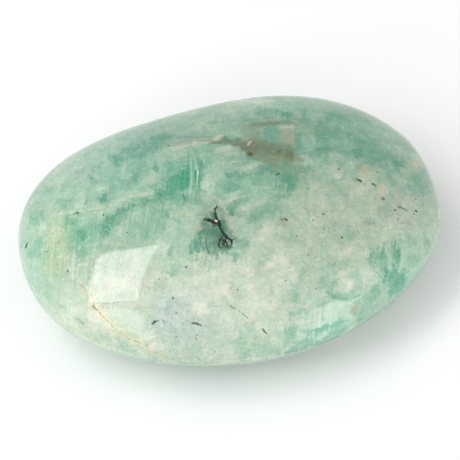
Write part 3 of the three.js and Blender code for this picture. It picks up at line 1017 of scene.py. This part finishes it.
# These lines wander, and are broken in places
veins = (
    "creamVein", "creamVeinEdge", "peachThread", "creamThread", "seamThread", "seamUnderShade",
    "farCrack", "fineArc", "brownThread", "paleLeafFour", "paleLeafFive", "paleLeafBlock",
    "rightLeafOne", "rightLeafTwo", "ridgePale", "ridgeUpper", "ridgeTop", "mintBar",
    "greenRidgeLine",
)

# Broad smears along a path, in the same columns
smears = {
    "seamFar": (
        [(163, 144.5), (180, 142), (196, 140), (212, 139.5)],
        (0.32, 0.48), 0.9, (160, 162, 142), 0.6,
    ),
    "seamFarRose": ([(170, 145.5), (184, 143), (198, 141.5)], (0.22, 0.2), 0.9, (188, 178, 156), 0.5),
    "seamWedge": (
        [(214, 141.5), (226, 141), (238, 143.4), (249, 148)],
        (0.4, 0.9), 0.7, (116, 128, 104), 0.8,
    ),
    "seamRoot": ([(244, 127), (245, 134), (249, 141)], (0.8, 0.8), 0.9, (148, 158, 136), 0.6),
    "seamCap": (
        [(252, 125), (264, 123.2), (278, 122.8), (292, 123.4)],
        (0.5, 0.48), 0.9, (112, 124, 98), 0.72,
    ),
    "seamStripes": ([(255, 127), (256, 134), (257, 141)], (0.85, 0.95), 0.8, (136, 150, 126), 0.6),
    "beigeBlock": (
        [(283, 131), (291, 131), (291, 137), (283, 137), (284, 142), (290, 142)],
        (0.6, 0.55), 0.5, (156, 164, 142), 0.75,
    ),
    "seamBody": (
        [(251, 147.5), (263, 150.5), (277, 152), (290, 155)],
        (1.25, 0.85), 0.55, (122, 128, 101), 0.85,
    ),
    "seamTail": ([(289, 156), (296, 158.4), (301, 160)], (0.75, 0.4), 0.8, (126, 136, 106), 0.65),
    "seamFoot": ([(268, 161), (275, 165), (281, 169)], (0.7, 0.35), 0.9, (128, 148, 116), 0.6),
    "creamBlock": (
        [(196, 305.5), (204, 305.5), (204, 310), (196, 310)],
        (0.5, 0.5), 0.5, (228, 230, 208), 0.45,
    ),
    # The next two smears are partly a pale streak in the rock and partly a painted reflection of the
    # side lamp
    "mintStreakAndReflection": (
        [(329, 307.6), (349, 306), (343, 312), (329, 314.5)],
        (0.75, 0.7), 0.3, (206, 228, 210), 0.5,
    ),
    "mintStreakAndReflectionLeft": (
        [(303, 326), (311, 316), (318, 311), (317, 323), (309, 328)],
        (0.65, 0.65), 0.4, (204, 226, 206), 0.2,
    ),
    "turquoiseBand": (
        [(305, 331.5), (318, 329.5), (332, 325.5), (345, 322)],
        (0.3, 0.4), 0.6, (132, 192, 164), 0.55,
    ),
    "seamBelow": (
        [(255, 155.5), (265, 158.5), (276, 160), (287, 159.5)],
        (0.8, 0.65), 0.8, (140, 150, 122), 0.65,
    ),
    "seamTop": (
        [(254, 142), (267, 143.6), (280, 146), (291, 148.5)],
        (0.5, 0.6), 0.8, (122, 130, 104), 0.75,
    ),
    "smokeLeft": (
        [(206, 224), (211, 229), (216, 234), (218, 240)],
        (0.75, 0.85), 0.9, (94, 128, 108), 0.5,
    ),
    "smokeRight": (
        [(220.6, 210), (222, 217), (224.6, 226), (228, 234)],
        (0.45, 0.5), 0.9, (98, 132, 110), 0.5,
    ),
    "smokeNest": ([(219, 241), (226, 243), (229, 246)], (0.75, 0.5), 0.9, (86, 116, 98), 0.45),
    "smokeTop": ([(213.8, 213), (215, 218)], (0.4, 0.55), 0.9, (88, 116, 96), 0.6),
    "tealSquare": (
        [(267.6, 129), (273.8, 129), (273.8, 133), (267.6, 133), (267.6, 137), (273.8, 137)],
        (0.66, 0.66), 0.25, (117, 166, 144), 0.9,
    ),
}

# The black mineral that branches through the rock, laid the same way
inclusion = {
    "tip": ([(217, 206.2), (216.5, 207.6), (215, 208.7)], (0.12, 0.14), 0.6, (40, 50, 42), 0.9),
    "stem": ([(214.9, 208.6), (215.2, 213), (216.4, 218.6)], (0.12, 0.18), 0.6, (36, 46, 38), 0.92),
    "armKnot": ([(205.2, 219.4), (208.8, 219.8)], (0.28, 0.22), 0.5, (52, 62, 52), 0.88),
    "arm": ([(208.2, 219.8), (211, 221), (213.8, 222)], (0.27, 0.28), 0.45, (34, 42, 36), 0.95),
    "junction": (
        [(213.6, 220.6), (216.6, 218.9), (219.1, 221.4), (219.9, 225.4)],
        (0.13, 0.24), 0.5, (32, 38, 34), 0.96,
    ),
    "trunk": (
        [(218.6, 224.6), (219.9, 227), (221, 229.4), (222.4, 231.8), (224.6, 234.3)],
        (0.22, 0.18), 0.6, (34, 40, 36), 0.95,
    ),
    "trunkFoot": (
        [(224.6, 234.3), (227, 237.2), (229.2, 239), (231.4, 240.4)],
        (0.19, 0.18), 0.6, (32, 40, 34), 0.95,
    ),
    "hook": ([(231.5, 240.2), (231.8, 243.4), (230.4, 247.2)], (0.19, 0.1), 0.7, (34, 42, 36), 0.92),
    "barb": ([(232, 240), (235, 238.2)], (0.08, 0.05), 0.5, (70, 80, 68), 0.7),
    "twigLeft": (
        [(222, 232.6), (220.3, 235.4), (221.2, 238), (219.4, 241.6)],
        (0.14, 0.11), 0.8, (50, 74, 60), 0.82,
    ),
    "twigLeftFoot": ([(219.2, 241.8), (218.4, 245), (220, 247.8)], (0.11, 0.1), 0.7, (46, 66, 54), 0.8),
    "twigMiddle": (
        [(223.4, 234.4), (222.2, 238), (224, 241.6), (222.4, 246.4)],
        (0.14, 0.12), 0.7, (50, 74, 60), 0.8,
    ),
    "twigRight": (
        [(226.2, 237.4), (225.4, 240.8), (227, 244.4), (228.4, 248.4)],
        (0.14, 0.09), 0.8, (40, 58, 48), 0.85,
    ),
    "looseTwig": (
        [(205.6, 238.8), (206.2, 243.5), (207.2, 248.4), (209, 254)],
        (0.11, 0.09), 0.8, (72, 118, 98), 0.7,
    ),
    "looseTwigLeft": ([(195.8, 239), (195.2, 250)], (0.07, 0.05), 0.8, (86, 130, 110), 0.5),
    "arc": (
        [(213, 226.5), (211.5, 231), (215, 234.6), (219.5, 233)],
        (0.1, 0.08), 0.8, (84, 132, 112), 0.6,
    ),
    "arcLeft": ([(205.4, 224), (208.8, 227.2), (209.2, 232)], (0.1, 0.08), 0.8, (92, 140, 118), 0.55),
    "twigCross": ([(219.6, 239.6), (223.4, 241.4), (226, 240.2)], (0.11, 0.12), 0.7, (46, 66, 54), 0.75),
    "twigRightCross": (
        [(225.6, 241), (223.8, 244.4), (225.6, 246.6)],
        (0.11, 0.09), 0.7, (48, 68, 56), 0.7,
    ),
    "sideTwig": (
        [(219.8, 227.4), (216.6, 229.6), (215.6, 232.6)],
        (0.1, 0.08), 0.8, (62, 92, 76), 0.65,
    ),
    "sideTwigLow": ([(221.6, 231), (218, 233), (217.2, 236.8)], (0.1, 0.08), 0.8, (58, 86, 70), 0.65),
    "thread": ([(214.6, 200), (216.6, 205.6)], (0.06, 0.08), 0.8, (120, 152, 118), 0.6),
    "footHair": ([(234, 255.6), (235.4, 260), (236.6, 264)], (0.06, 0.05), 0.8, (128, 158, 134), 0.6),
    "junctionWeb": (
        [(211.4, 222.2), (214.6, 223.4), (218.8, 224)],
        (0.13, 0.22), 0.6, (40, 52, 44), 0.9,
    ),
    "junctionHaze": ([(212.6, 225), (217, 226.4)], (0.14, 0.12), 0.9, (60, 88, 72), 0.7),
}

# Nets of fine dark lines round it, each inside an oval: pixel, half sizes, size of a cell,
# share of a cell that its line takes, tone
nets = {
    "haze": ((212, 238), (2.4, 2.0), 0.9, 0.08, (88, 136, 114)),
    "twigs": ((224, 242.5), (1.2, 1.0), 0.5, 0.15, (52, 80, 65)),
}
netSoftness = 0.4
netStrength = 0.8

# Small crisp spots: pixel, half sizes, turn, softness, tone, strength
spots = {
    # The glint is a painted highlight on the black mineral
    "paintedGlint": ((216, 221), (0.25, 0.13), -22, 0.5, (240, 240, 234), 0.95),
    "beigeTop": ((284.6, 127.2), (0.7, 0.22), 4, 0.8, (206, 204, 186), 0.7),
    "beigeCorner": ((292.4, 126.6), (0.34, 0.46), 0, 0.8, (202, 198, 180), 0.6),
    "creamBlob": ((217.4, 138), (0.72, 0.34), 30, 0.8, (202, 198, 176), 0.8),
    "creamCore": ((219, 136.2), (0.42, 0.16), 30, 0.7, (214, 206, 186), 0.65),
    "creamDot": ((195, 142.3), (0.34, 0.18), 0, 0.5, (206, 205, 184), 0.75),
    "underDot": ((224, 148), (1.05, 0.32), 8, 0.6, (200, 206, 186), 0.7),
    "brownDot": ((169, 145.6), (0.2, 0.1), 0, 0.5, (98, 94, 72), 0.7),
    "brownCore": ((250.4, 154), (0.55, 0.3), -10, 0.7, (94, 92, 68), 0.75),
    "orangeDot": ((254.3, 144.5), (0.13, 0.12), 0, 0.5, (172, 134, 94), 0.7),
    "greenDark": ((277.4, 174.2), (0.3, 0.2), 20, 0.5, (58, 110, 82), 0.7),
    "peach": ((364.6, 168.6), (0.6, 0.52), 0, 0.9, (192, 182, 150), 0.6),
    "peachLow": ((382, 191), (0.62, 0.95), 0, 0.9, (214, 198, 172), 0.6),
    "peachRim": ((417, 164), (0.9, 0.45), 0, 0.9, (206, 190, 160), 0.55),
    "pink": ((354.6, 309), (0.5, 0.65), 0, 0.8, (188, 178, 156), 0.6),
    "rustGlow": ((102, 315), (0.26, 0.55), -10, 0.8, (226, 200, 150), 0.6),
    "beigeFoot": ((291.6, 140), (0.5, 0.75), 0, 0.8, (178, 170, 148), 0.45),
    "brownRight": ((290, 154.4), (0.85, 0.4), -25, 0.8, (110, 118, 90), 0.45),
    "brownMiddle": ((279, 151), (0.45, 0.3), 0, 0.7, (106, 108, 82), 0.5),
    "knotLight": ((206.2, 219.7), (0.15, 0.11), 0, 0.7, (124, 134, 118), 0.6),
}

# The rusty crack at the near left
rust = {
    "path": [
        (79.5, 283.7), (84.5, 288.5), (90, 293), (92.5, 300), (95, 308), (103, 317), (110, 323.3),
        (117.7, 330.6), (126.5, 337.2), (135.3, 341.6), (145.5, 345.3), (155.8, 352.6), (167.5, 357.7),
    ],
    "haze": ((0.4, 0.5), 0.9, (224, 214, 176), 0.34),
    "line": ((0.06, 0.07), 0.8, (124, 122, 92), 0.75),
    "branch": ([(92.5, 306), (97.5, 309.5), (101, 313.5)], (0.12, 0.1), 0.7, (128, 132, 104), 0.7),
    "twig": ([(78, 318.9), (80.5, 322), (83, 325)], (0.09, 0.09), 0.6, (104, 106, 90), 0.8),
}

# Dark specks: pixel and half width
specks = {
    "softness": 0.5,
    "strength": 0.85,
    "sharp": [
        (77.3, 212.9, 0.22), (74.4, 213.7, 0.13), (103.4, 215.1, 0.15), (127.2, 232.4, 0.1),
        (47.3, 251.7, 0.14), (67.8, 271.2, 0.16), (58.6, 242.9, 0.09), (155.2, 321.8, 0.1),
        (173.4, 298, 0.16), (186, 267.2, 0.15), (176.3, 336.5, 0.13), (376.8, 272.2, 0.1),
        (285.4, 280.7, 0.12), (383, 198.5, 0.28), (416, 211, 0.2), (415.7, 199.3, 0.13),
        (395.1, 210.3, 0.17), (196.9, 189.7, 0.1), (278.5, 173.6, 0.11), (325.8, 296.4, 0.1),
        (241.1, 337.9, 0.09), (250.5, 154, 0.16), (341.9, 237.5, 0.15), (296.4, 235.7, 0.08),
        (398, 219, 0.1),
    ],
    "faint": [
        (338.7, 169.2, 0.22), (377.5, 172.4, 0.17), (163.6, 320.8, 0.13), (166, 321.6, 0.1),
        (164.4, 323.4, 0.13), (159.5, 279.3, 0.09), (166.8, 340.9, 0.1), (147, 345.3, 0.14),
        (169.7, 351.1, 0.12), (215.2, 351.9, 0.1), (218.1, 332.1, 0.08), (176.3, 313.2, 0.15),
        (277, 234.1, 0.09), (323.3, 214.2, 0.2), (335.7, 222.7, 0.12), (313, 220, 0.14),
        (318, 216.8, 0.08), (324, 228.5, 0.15), (307.9, 188.8, 0.16), (270.9, 198.2, 0.13),
        (410, 196.3, 0.09), (414, 213.8, 0.14), (308.6, 255, 0.11), (304.2, 309.3, 0.09),
        (307.9, 287.3, 0.1), (315.9, 288.8, 0.12), (273.4, 293.2, 0.1), (237.5, 289.5, 0.12),
        (415.2, 154, 0.16), (103, 190.5, 0.08), (58.3, 211.7, 0.09), (85.4, 203.7, 0.08),
        (208.6, 270.5, 0.09), (253.6, 351, 0.09), (38.5, 231.6, 0.09), (91.3, 178, 0.16),
        (172, 318, 0.09), (291, 155, 0.12),
    ],
    "sharpTone": (58, 70, 62),
    "faintTone": (112, 128, 114),
}

# A scattered speck is whole and gone at these shares of its half width
speckFade = (0.5, 1.4)

# Specks scattered through all of the rock, one to a cell, in this share of the cells
scatter = {
    "fine": {"cell": 0.85, "width": 0.1, "share": 0.3, "strength": 0.3, "tone": (120, 158, 134)},
    "dark": {"cell": 2.4, "width": 0.09, "share": 0.35, "strength": 0.7, "tone": (86, 104, 90)},
}

# What the photograph doesn't show: clouds of teal and cream, and thin rusty threads
hiddenSide = {
    "turned": (0.12, -0.25),  # how squarely the camera sees the stone where this begins, and is whole
    "paleness": 170.0,
    "depth": 250.0,
    "threadWidth": 0.006,
    "threadTone": (168, 150, 116),
    "threadStrength": 0.45,
}


def layLevels(tree, level, point, fray, rows):
    for *oval, paleness in rows.values():
        level = mixLevel(tree, patchMask(tree, point, *oval, fray), level, paleness)
    return level


def layTints(tree, colour, point, fray, rows):
    for *oval, tint in rows.values():
        mask = patchMask(tree, point, *oval, fray)
        colour = mixTone(tree, mask, colour, (*tint, 1.0), "MULTIPLY")
    return colour


def layTone(tree, colour, mask, strength, shade):
    return mixTone(tree, calc(tree, "MULTIPLY", mask, strength), colour, tone(*shade))


# How far a noise is from its middle, times a depth
def swing(tree, noise, depth):
    return calc(tree, "MULTIPLY", calc(tree, "SUBTRACT", noise, 0.5), depth)


# Thin winding lines, where a noise crosses its middle
def ridges(tree, point, noise, width):
    cloud = noiseAt(tree, point, *noise)
    return between(tree, calc(tree, "ABSOLUTE", calc(tree, "SUBTRACT", cloud, 0.5)), width, 0.0)


# Presence says where a line is whole, with 1, and where it is lost, with 0
def layLine(tree, colour, point, path, widths, softness, shade, strength, presence):
    mask = calc(tree, "MULTIPLY", pathMask(tree, point, path, widths, softness), strength)
    return layTone(tree, colour, mask, presence, shade)


# The tones are spread over the range of paleness that they name
def toneRamp(tree, level, tones):
    low, high = min(tones), max(tones)
    place = between(tree, level, low, high, smooth=False)
    ramp = addNode(tree, "ShaderNodeValToRGB", Fac=place)
    stops = ramp.color_ramp.elements
    for number, (paleness, shade) in enumerate(tones.items()):
        share = (paleness - low) / (high - low)
        stop = stops[number] if number < 2 else stops.new(share)
        stop.position = share
        stop.color = tone(*shade)
    return ramp.outputs["Color"]


def layNet(tree, colour, point, place, halfSizes, cell, line, shade):
    cells = addNode(
        tree, "ShaderNodeTexVoronoi", {"feature": "DISTANCE_TO_EDGE"},
        Vector=vectorCalc(tree, "SCALE", point, scale=1 / cell), Scale=1.0,
    ).outputs["Distance"]
    oval = patchMask(tree, point, place, halfSizes, 0, netSoftness)
    mask = calc(tree, "MULTIPLY", between(tree, cells, line, 0.0), oval)
    return layTone(tree, colour, mask, netStrength, shade)


def layScatter(tree, colour, point, kind):
    cells = addNode(
        tree, "ShaderNodeTexVoronoi",
        Vector=vectorCalc(tree, "SCALE", point, scale=1 / kind["cell"]), Scale=1.0,
    ).outputs
    width = kind["width"] / kind["cell"]
    whole, gone = speckFade
    dot = between(tree, cells["Distance"], width * gone, width * whole)
    chance = addNode(tree, "ShaderNodeSeparateColor", Color=cells["Color"]).outputs[0]
    chosen = calc(tree, "LESS_THAN", chance, kind["share"])
    return layTone(tree, colour, calc(tree, "MULTIPLY", dot, chosen), kind["strength"], kind["tone"])


# The feldspar's thin upright leaves, as a noise drawn out along them
def leavesAt(tree, point):
    tilt = math.radians(texture["leafTilt"])
    across = viewRight * math.cos(tilt) + viewUp * math.sin(tilt)
    down = viewUp * math.cos(tilt) - viewRight * math.sin(tilt)
    sizes = (texture["leafWidth"], texture["leafLength"], texture["leafLength"])
    x, y, z = [
        vectorCalc(tree, "DOT_PRODUCT", point, side / size)
        for side, size in zip((across, down, viewBack), sizes)
    ]
    leafSpace = addNode(tree, "ShaderNodeCombineXYZ", X=x, Y=y, Z=z).outputs[0]
    return noiseAt(tree, leafSpace, *noises["leaves"])


# A slope up the picture, darker at the far side partly by the rock's own colour and partly as painted
# shade where it turns from the light, then the fields and the patches
def layPatches(tree, point, places, leaves, edge):
    patchEdge = swing(tree, edge, texture["frayPatches"])
    fray = calc(tree, "ADD", patchEdge, swing(tree, leaves, texture["frayLeaves"]))
    up = vectorCalc(tree, "DOT_PRODUCT", vectorCalc(tree, "SUBTRACT", point, shift / mm), viewUp)
    level = between(
        tree, up, texture["farUp"], texture["nearUp"], texture["farPaleness"], texture["nearPaleness"],
        smooth=False,
    )
    level = layLevels(tree, level, places["broad"], swing(tree, edge, texture["frayFields"]), fields)
    return layLevels(tree, level, places["ragged"], fray, patches)


# How squarely the stone faces the photograph's camera, from 1 to -1 at its back
def facingView(tree, point):
    half = [side / 2 for side in stoneShape["size"]]
    outward = vectorCalc(tree, "SUBTRACT", point, shift / mm)
    steepness = vectorCalc(tree, "MULTIPLY", outward, [1 / h ** 2 for h in half])
    return vectorCalc(tree, "DOT_PRODUCT", vectorCalc(tree, "NORMALIZE", steepness), viewBack)


def layHiddenClouds(tree, level, point, hidden):
    clouds = swing(tree, noiseAt(tree, point, *noises["hiddenClouds"]), hiddenSide["depth"])
    return mixLevel(tree, hidden, level, calc(tree, "ADD", clouds, hiddenSide["paleness"]))


# Towards its outline in the photograph the rock is painted darker: painted shade along the rim, where
# the stone turns away from the camera
def layRimShade(tree, level, facing):
    rim = calc(tree, "MULTIPLY", between(tree, facing, *texture["rimShadeFrom"]), texture["rimShadeDepth"])
    return calc(tree, "ADD", level, rim)


# How much the leaves show
def leafShareAt(tree, point):
    share = texture["leafShare"]
    for *oval, zoneShare in leafZones.values():
        share = mixLevel(tree, patchMask(tree, point, *oval), share, zoneShare)
    return share


# Leaves, bands along the rim, clouds, grain and wisps
def layTexture(tree, level, point, places, facing, leaves, cloud, grain):
    leafShare = leafShareAt(tree, places["ragged"])
    streaks = calc(tree, "MULTIPLY", swing(tree, leaves, texture["leafDepth"]), leafShare)
    level = calc(tree, "ADD", level, streaks)
    banded = between(tree, facing, *texture["bandFrom"])
    course = addNode(
        tree, "ShaderNodeTexNoise", {"noise_dimensions": "4D"},
        Vector=vectorCalc(tree, "SCALE", point, scale=1 / texture["bandLength"]),
        W=calc(tree, "MULTIPLY", facing, texture["bandCount"]),
        Scale=1.0, Detail=texture["bandDetail"], Roughness=texture["bandRoughness"],
    ).outputs["Fac"]
    bands = calc(tree, "MULTIPLY", swing(tree, course, texture["bandDepth"]), banded)
    level = calc(tree, "ADD", level, bands)
    clouded = calc(tree, "MULTIPLY_ADD", banded, texture["bandClouds"], 1.0)
    clouds = calc(tree, "MULTIPLY", swing(tree, cloud, texture["cloudDepth"]), clouded)
    level = calc(tree, "ADD", level, clouds)
    level = calc(tree, "ADD", level, swing(tree, grain, texture["grainDepth"]))
    for noise, width, depth in wisps.values():
        wisp = calc(tree, "MULTIPLY", ridges(tree, point, noise, width), depth)
        level = calc(tree, "ADD", level, wisp)
    return level


# The hue drifts between green and rose, and strays where the tints say so
def layHues(tree, colour, point, places, edge):
    hue = noiseAt(tree, point, *noises["hue"])
    drift = mixTone(tree, between(tree, hue, *texture["hueRange"]), hues["green"], hues["rose"])
    colour = mixTone(tree, 1.0, colour, drift, "MULTIPLY")
    return layTints(tree, colour, places["ragged"], swing(tree, edge, texture["frayFields"]), tints)


# Scattered specks, then smears, lines, the rusty crack, specks, nets, the black mineral and spots
def layMarks(tree, colour, point, places, grain):
    whole = 1.0
    broken = between(tree, noiseAt(tree, point, *noises["gaps"]), *texture["gaps"])
    patchy = between(tree, noiseAt(tree, point, *noises["thinPlaces"]), *texture["thinPlaces"])
    roughEdge = swing(tree, grain, texture["fraySpots"])
    ragged, loose, fine = (places[name] for name in ("ragged", "loose", "fine"))
    for kind in scatter.values():
        colour = layScatter(tree, colour, point, kind)
    for row in smears.values():
        colour = layLine(tree, colour, ragged, *row, patchy)
    for name, row in lines.items():
        wanders = name in veins
        colour = layLine(tree, colour, loose if wanders else fine, *row, broken if wanders else whole)
    colour = layLine(tree, colour, loose, rust["path"], *rust["haze"], whole)
    colour = layLine(tree, colour, loose, rust["path"], *rust["line"], broken)
    for name in ("branch", "twig"):
        colour = layLine(tree, colour, loose, *rust[name], whole)
    for name in ("faint", "sharp"):
        mask = specksMask(tree, fine, specks[name], specks["softness"])
        colour = layTone(tree, colour, mask, specks["strength"], specks[f"{name}Tone"])
    for net in nets.values():
        colour = layNet(tree, colour, point, *net)
    for row in inclusion.values():
        colour = layLine(tree, colour, fine, *row, whole)
    for *oval, shade, strength in spots.values():
        colour = layTone(tree, colour, patchMask(tree, fine, *oval, roughEdge), strength, shade)
    return colour


def layHiddenThreads(tree, colour, point, hidden):
    threads = ridges(tree, point, noises["hiddenThreads"], hiddenSide["threadWidth"])
    mask = calc(tree, "MULTIPLY", threads, hidden)
    return layTone(tree, colour, mask, hiddenSide["threadStrength"], hiddenSide["threadTone"])


def dressStone(material):
    material.use_nodes = True
    tree = material.node_tree
    tree.nodes.clear()
    coords = tree.nodes.new("ShaderNodeTexCoord")
    point = vectorCalc(tree, "SCALE", coords.outputs["Object"], scale=1 / mm)
    places = {name: stirred(tree, point, *stir) for name, stir in stirs.items()}
    leaves = leavesAt(tree, point)
    cloud, grain, edge = (noiseAt(tree, point, *noises[name]) for name in ("clouds", "grain", "fray"))

    # Paleness comes first, and is then turned into colours
    level = layPatches(tree, point, places, leaves, edge)
    facing = facingView(tree, point)
    hidden = between(tree, facing, *hiddenSide["turned"])
    level = layHiddenClouds(tree, level, point, hidden)
    level = layRimShade(tree, level, facing)
    level = layTexture(tree, level, point, places, facing, leaves, cloud, grain)
    colour = toneRamp(tree, level, palenessTones)
    colour = layHues(tree, colour, point, places, edge)
    colour = layMarks(tree, colour, point, places, grain)
    colour = layHiddenThreads(tree, colour, point, hidden)

    shader = addNode(tree, "ShaderNodeBsdfPrincipled", Base_Color=colour, **polish)
    output = tree.nodes.new("ShaderNodeOutputMaterial")
    tree.links.new(shader.outputs[0], output.inputs["Surface"])


dressStone(stoneFinish)
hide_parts("palm_stone")
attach(stone, "root")
print("stone dressed with", len(stoneFinish.node_tree.nodes), "nodes")


# Floor, room and soft lights

# The floor reaches this many metres from its middle
floorSheet = {"reach": 3.0, "colour": (0.96, 0.96, 0.96, 1.0), "roughness": 0.9}


def makeFloor(reach, colour, roughness):
    paper = bpy.data.materials.new("paleFloor")
    paper.use_nodes = True
    shader = paper.node_tree.nodes["Principled BSDF"]
    shader.inputs["Base Color"].default_value = colour
    shader.inputs["Roughness"].default_value = roughness
    sheet = bpy.data.meshes.new("floor")
    corners = [(-reach, -reach, 0), (reach, -reach, 0), (reach, reach, 0), (-reach, reach, 0)]
    sheet.from_pydata(corners, [], [(0, 1, 2, 3)])
    sheet.materials.append(paper)
    floor = bpy.data.objects.new("floor", sheet)
    bpy.context.scene.collection.objects.link(floor)


# A soft lamp beside the stone: middle from the stone, the ways that its width and height run,
# width and height, and how bright the panel itself is
sideLamp = {
    "middle": (445, -741, 172), "wide": (0.857, 0.515, 0.0), "tall": (0.0, 0.0, 1.0),
    "size": (420, 350), "brightness": 1.1,
}

# The windows are panels whose corners are mirrored on the stone at these pixels.
# away is how far they hang from it.
windows = {
    "tallWindow": {
        "corners": [
            (92.4, 279), (94.6, 265), (98, 257.6), (104, 254), (117, 250.6), (136, 248.8),
            (161.4, 243.6), (152, 256), (145.5, 270), (141.5, 284), (138, 301), (106, 302),
            (100, 304), (90, 302),
        ],
        "away": 920, "brightness": 5.4,
    },
    "lowWindow": {
        "corners": [
            (85, 320), (86, 311), (105, 309), (125, 308), (138, 311), (144, 320), (144, 329),
            (138, 337), (116, 336), (98, 330),
        ],
        "away": 830, "brightness": 3.5,
    },
}

# The room is white and brightest near the horizon
room = {"horizon": 1.05, "overhead": 0.52}


def makeLamp(name, lamp):
    data = bpy.data.lights.new(name, "AREA")
    data.shape = "RECTANGLE"
    data.size, data.size_y = (side * mm for side in lamp["size"])
    data.energy = lamp["brightness"] * math.pi * data.size * data.size_y
    wide, tall = (Vector(lamp[name]).normalized() for name in ("wide", "tall"))
    away = wide.cross(tall)
    if away.dot(Vector(lamp["middle"])) < 0:
        wide, away = -wide, -away
    light = bpy.data.objects.new(name, data)
    light.visible_camera = False
    standAt(light, shift + Vector(lamp["middle"]) * mm, (wide, tall, away))


# The point that a pixel of the stone mirrors
def mirroredPoint(x, y, away):
    hit, normal = spotAt(x, y)
    sight = (hit * mm - cameraPlace).normalized()
    return hit * mm + sight.reflect(normal) * away * mm


def makeWindow(name, window):
    corners = [mirroredPoint(x, y, window["away"]) for x, y in window["corners"]]
    middle = sum(corners, Vector()) / len(corners)
    last = len(corners)
    sheet = bpy.data.meshes.new(name)
    sheet.from_pydata([*corners, middle], [], [(i, (i + 1) % last, last) for i in range(last)])
    glow = bpy.data.materials.new(name)
    glow.use_nodes = True
    glow.node_tree.nodes.clear()
    shine = addNode(glow.node_tree, "ShaderNodeEmission", Strength=window["brightness"])
    output = glow.node_tree.nodes.new("ShaderNodeOutputMaterial")
    glow.node_tree.links.new(shine.outputs[0], output.inputs["Surface"])
    sheet.materials.append(glow)
    panel = bpy.data.objects.new(name, sheet)
    panel.visible_camera = False
    panel.visible_shadow = False
    bpy.context.scene.collection.objects.link(panel)
    print(name, "hangs at", [round(v, 2) for v in middle], "lowest", round(min(c.z for c in corners), 2))


def makeRoom(horizon, overhead):
    world = bpy.data.worlds.new("softRoom")
    world.use_nodes = True
    tree = world.node_tree
    direction = tree.nodes.new("ShaderNodeTexCoord").outputs["Generated"]
    height = addNode(tree, "ShaderNodeSeparateXYZ", Vector=direction).outputs["Z"]
    brightness = between(tree, height, 0.0, 1.0, horizon, overhead, smooth=False)
    background = tree.nodes["Background"]
    background.inputs["Color"].default_value = (1.0, 1.0, 1.0, 1.0)
    tree.links.new(brightness, background.inputs["Strength"])
    bpy.context.scene.world = world


makeFloor(**floorSheet)
makeLamp("sideLamp", sideLamp)
for name, window in windows.items():
    makeWindow(name, window)
makeRoom(**room)
bpy.context.scene.view_settings.view_transform = "Standard"
print("floor, room and lamps placed")
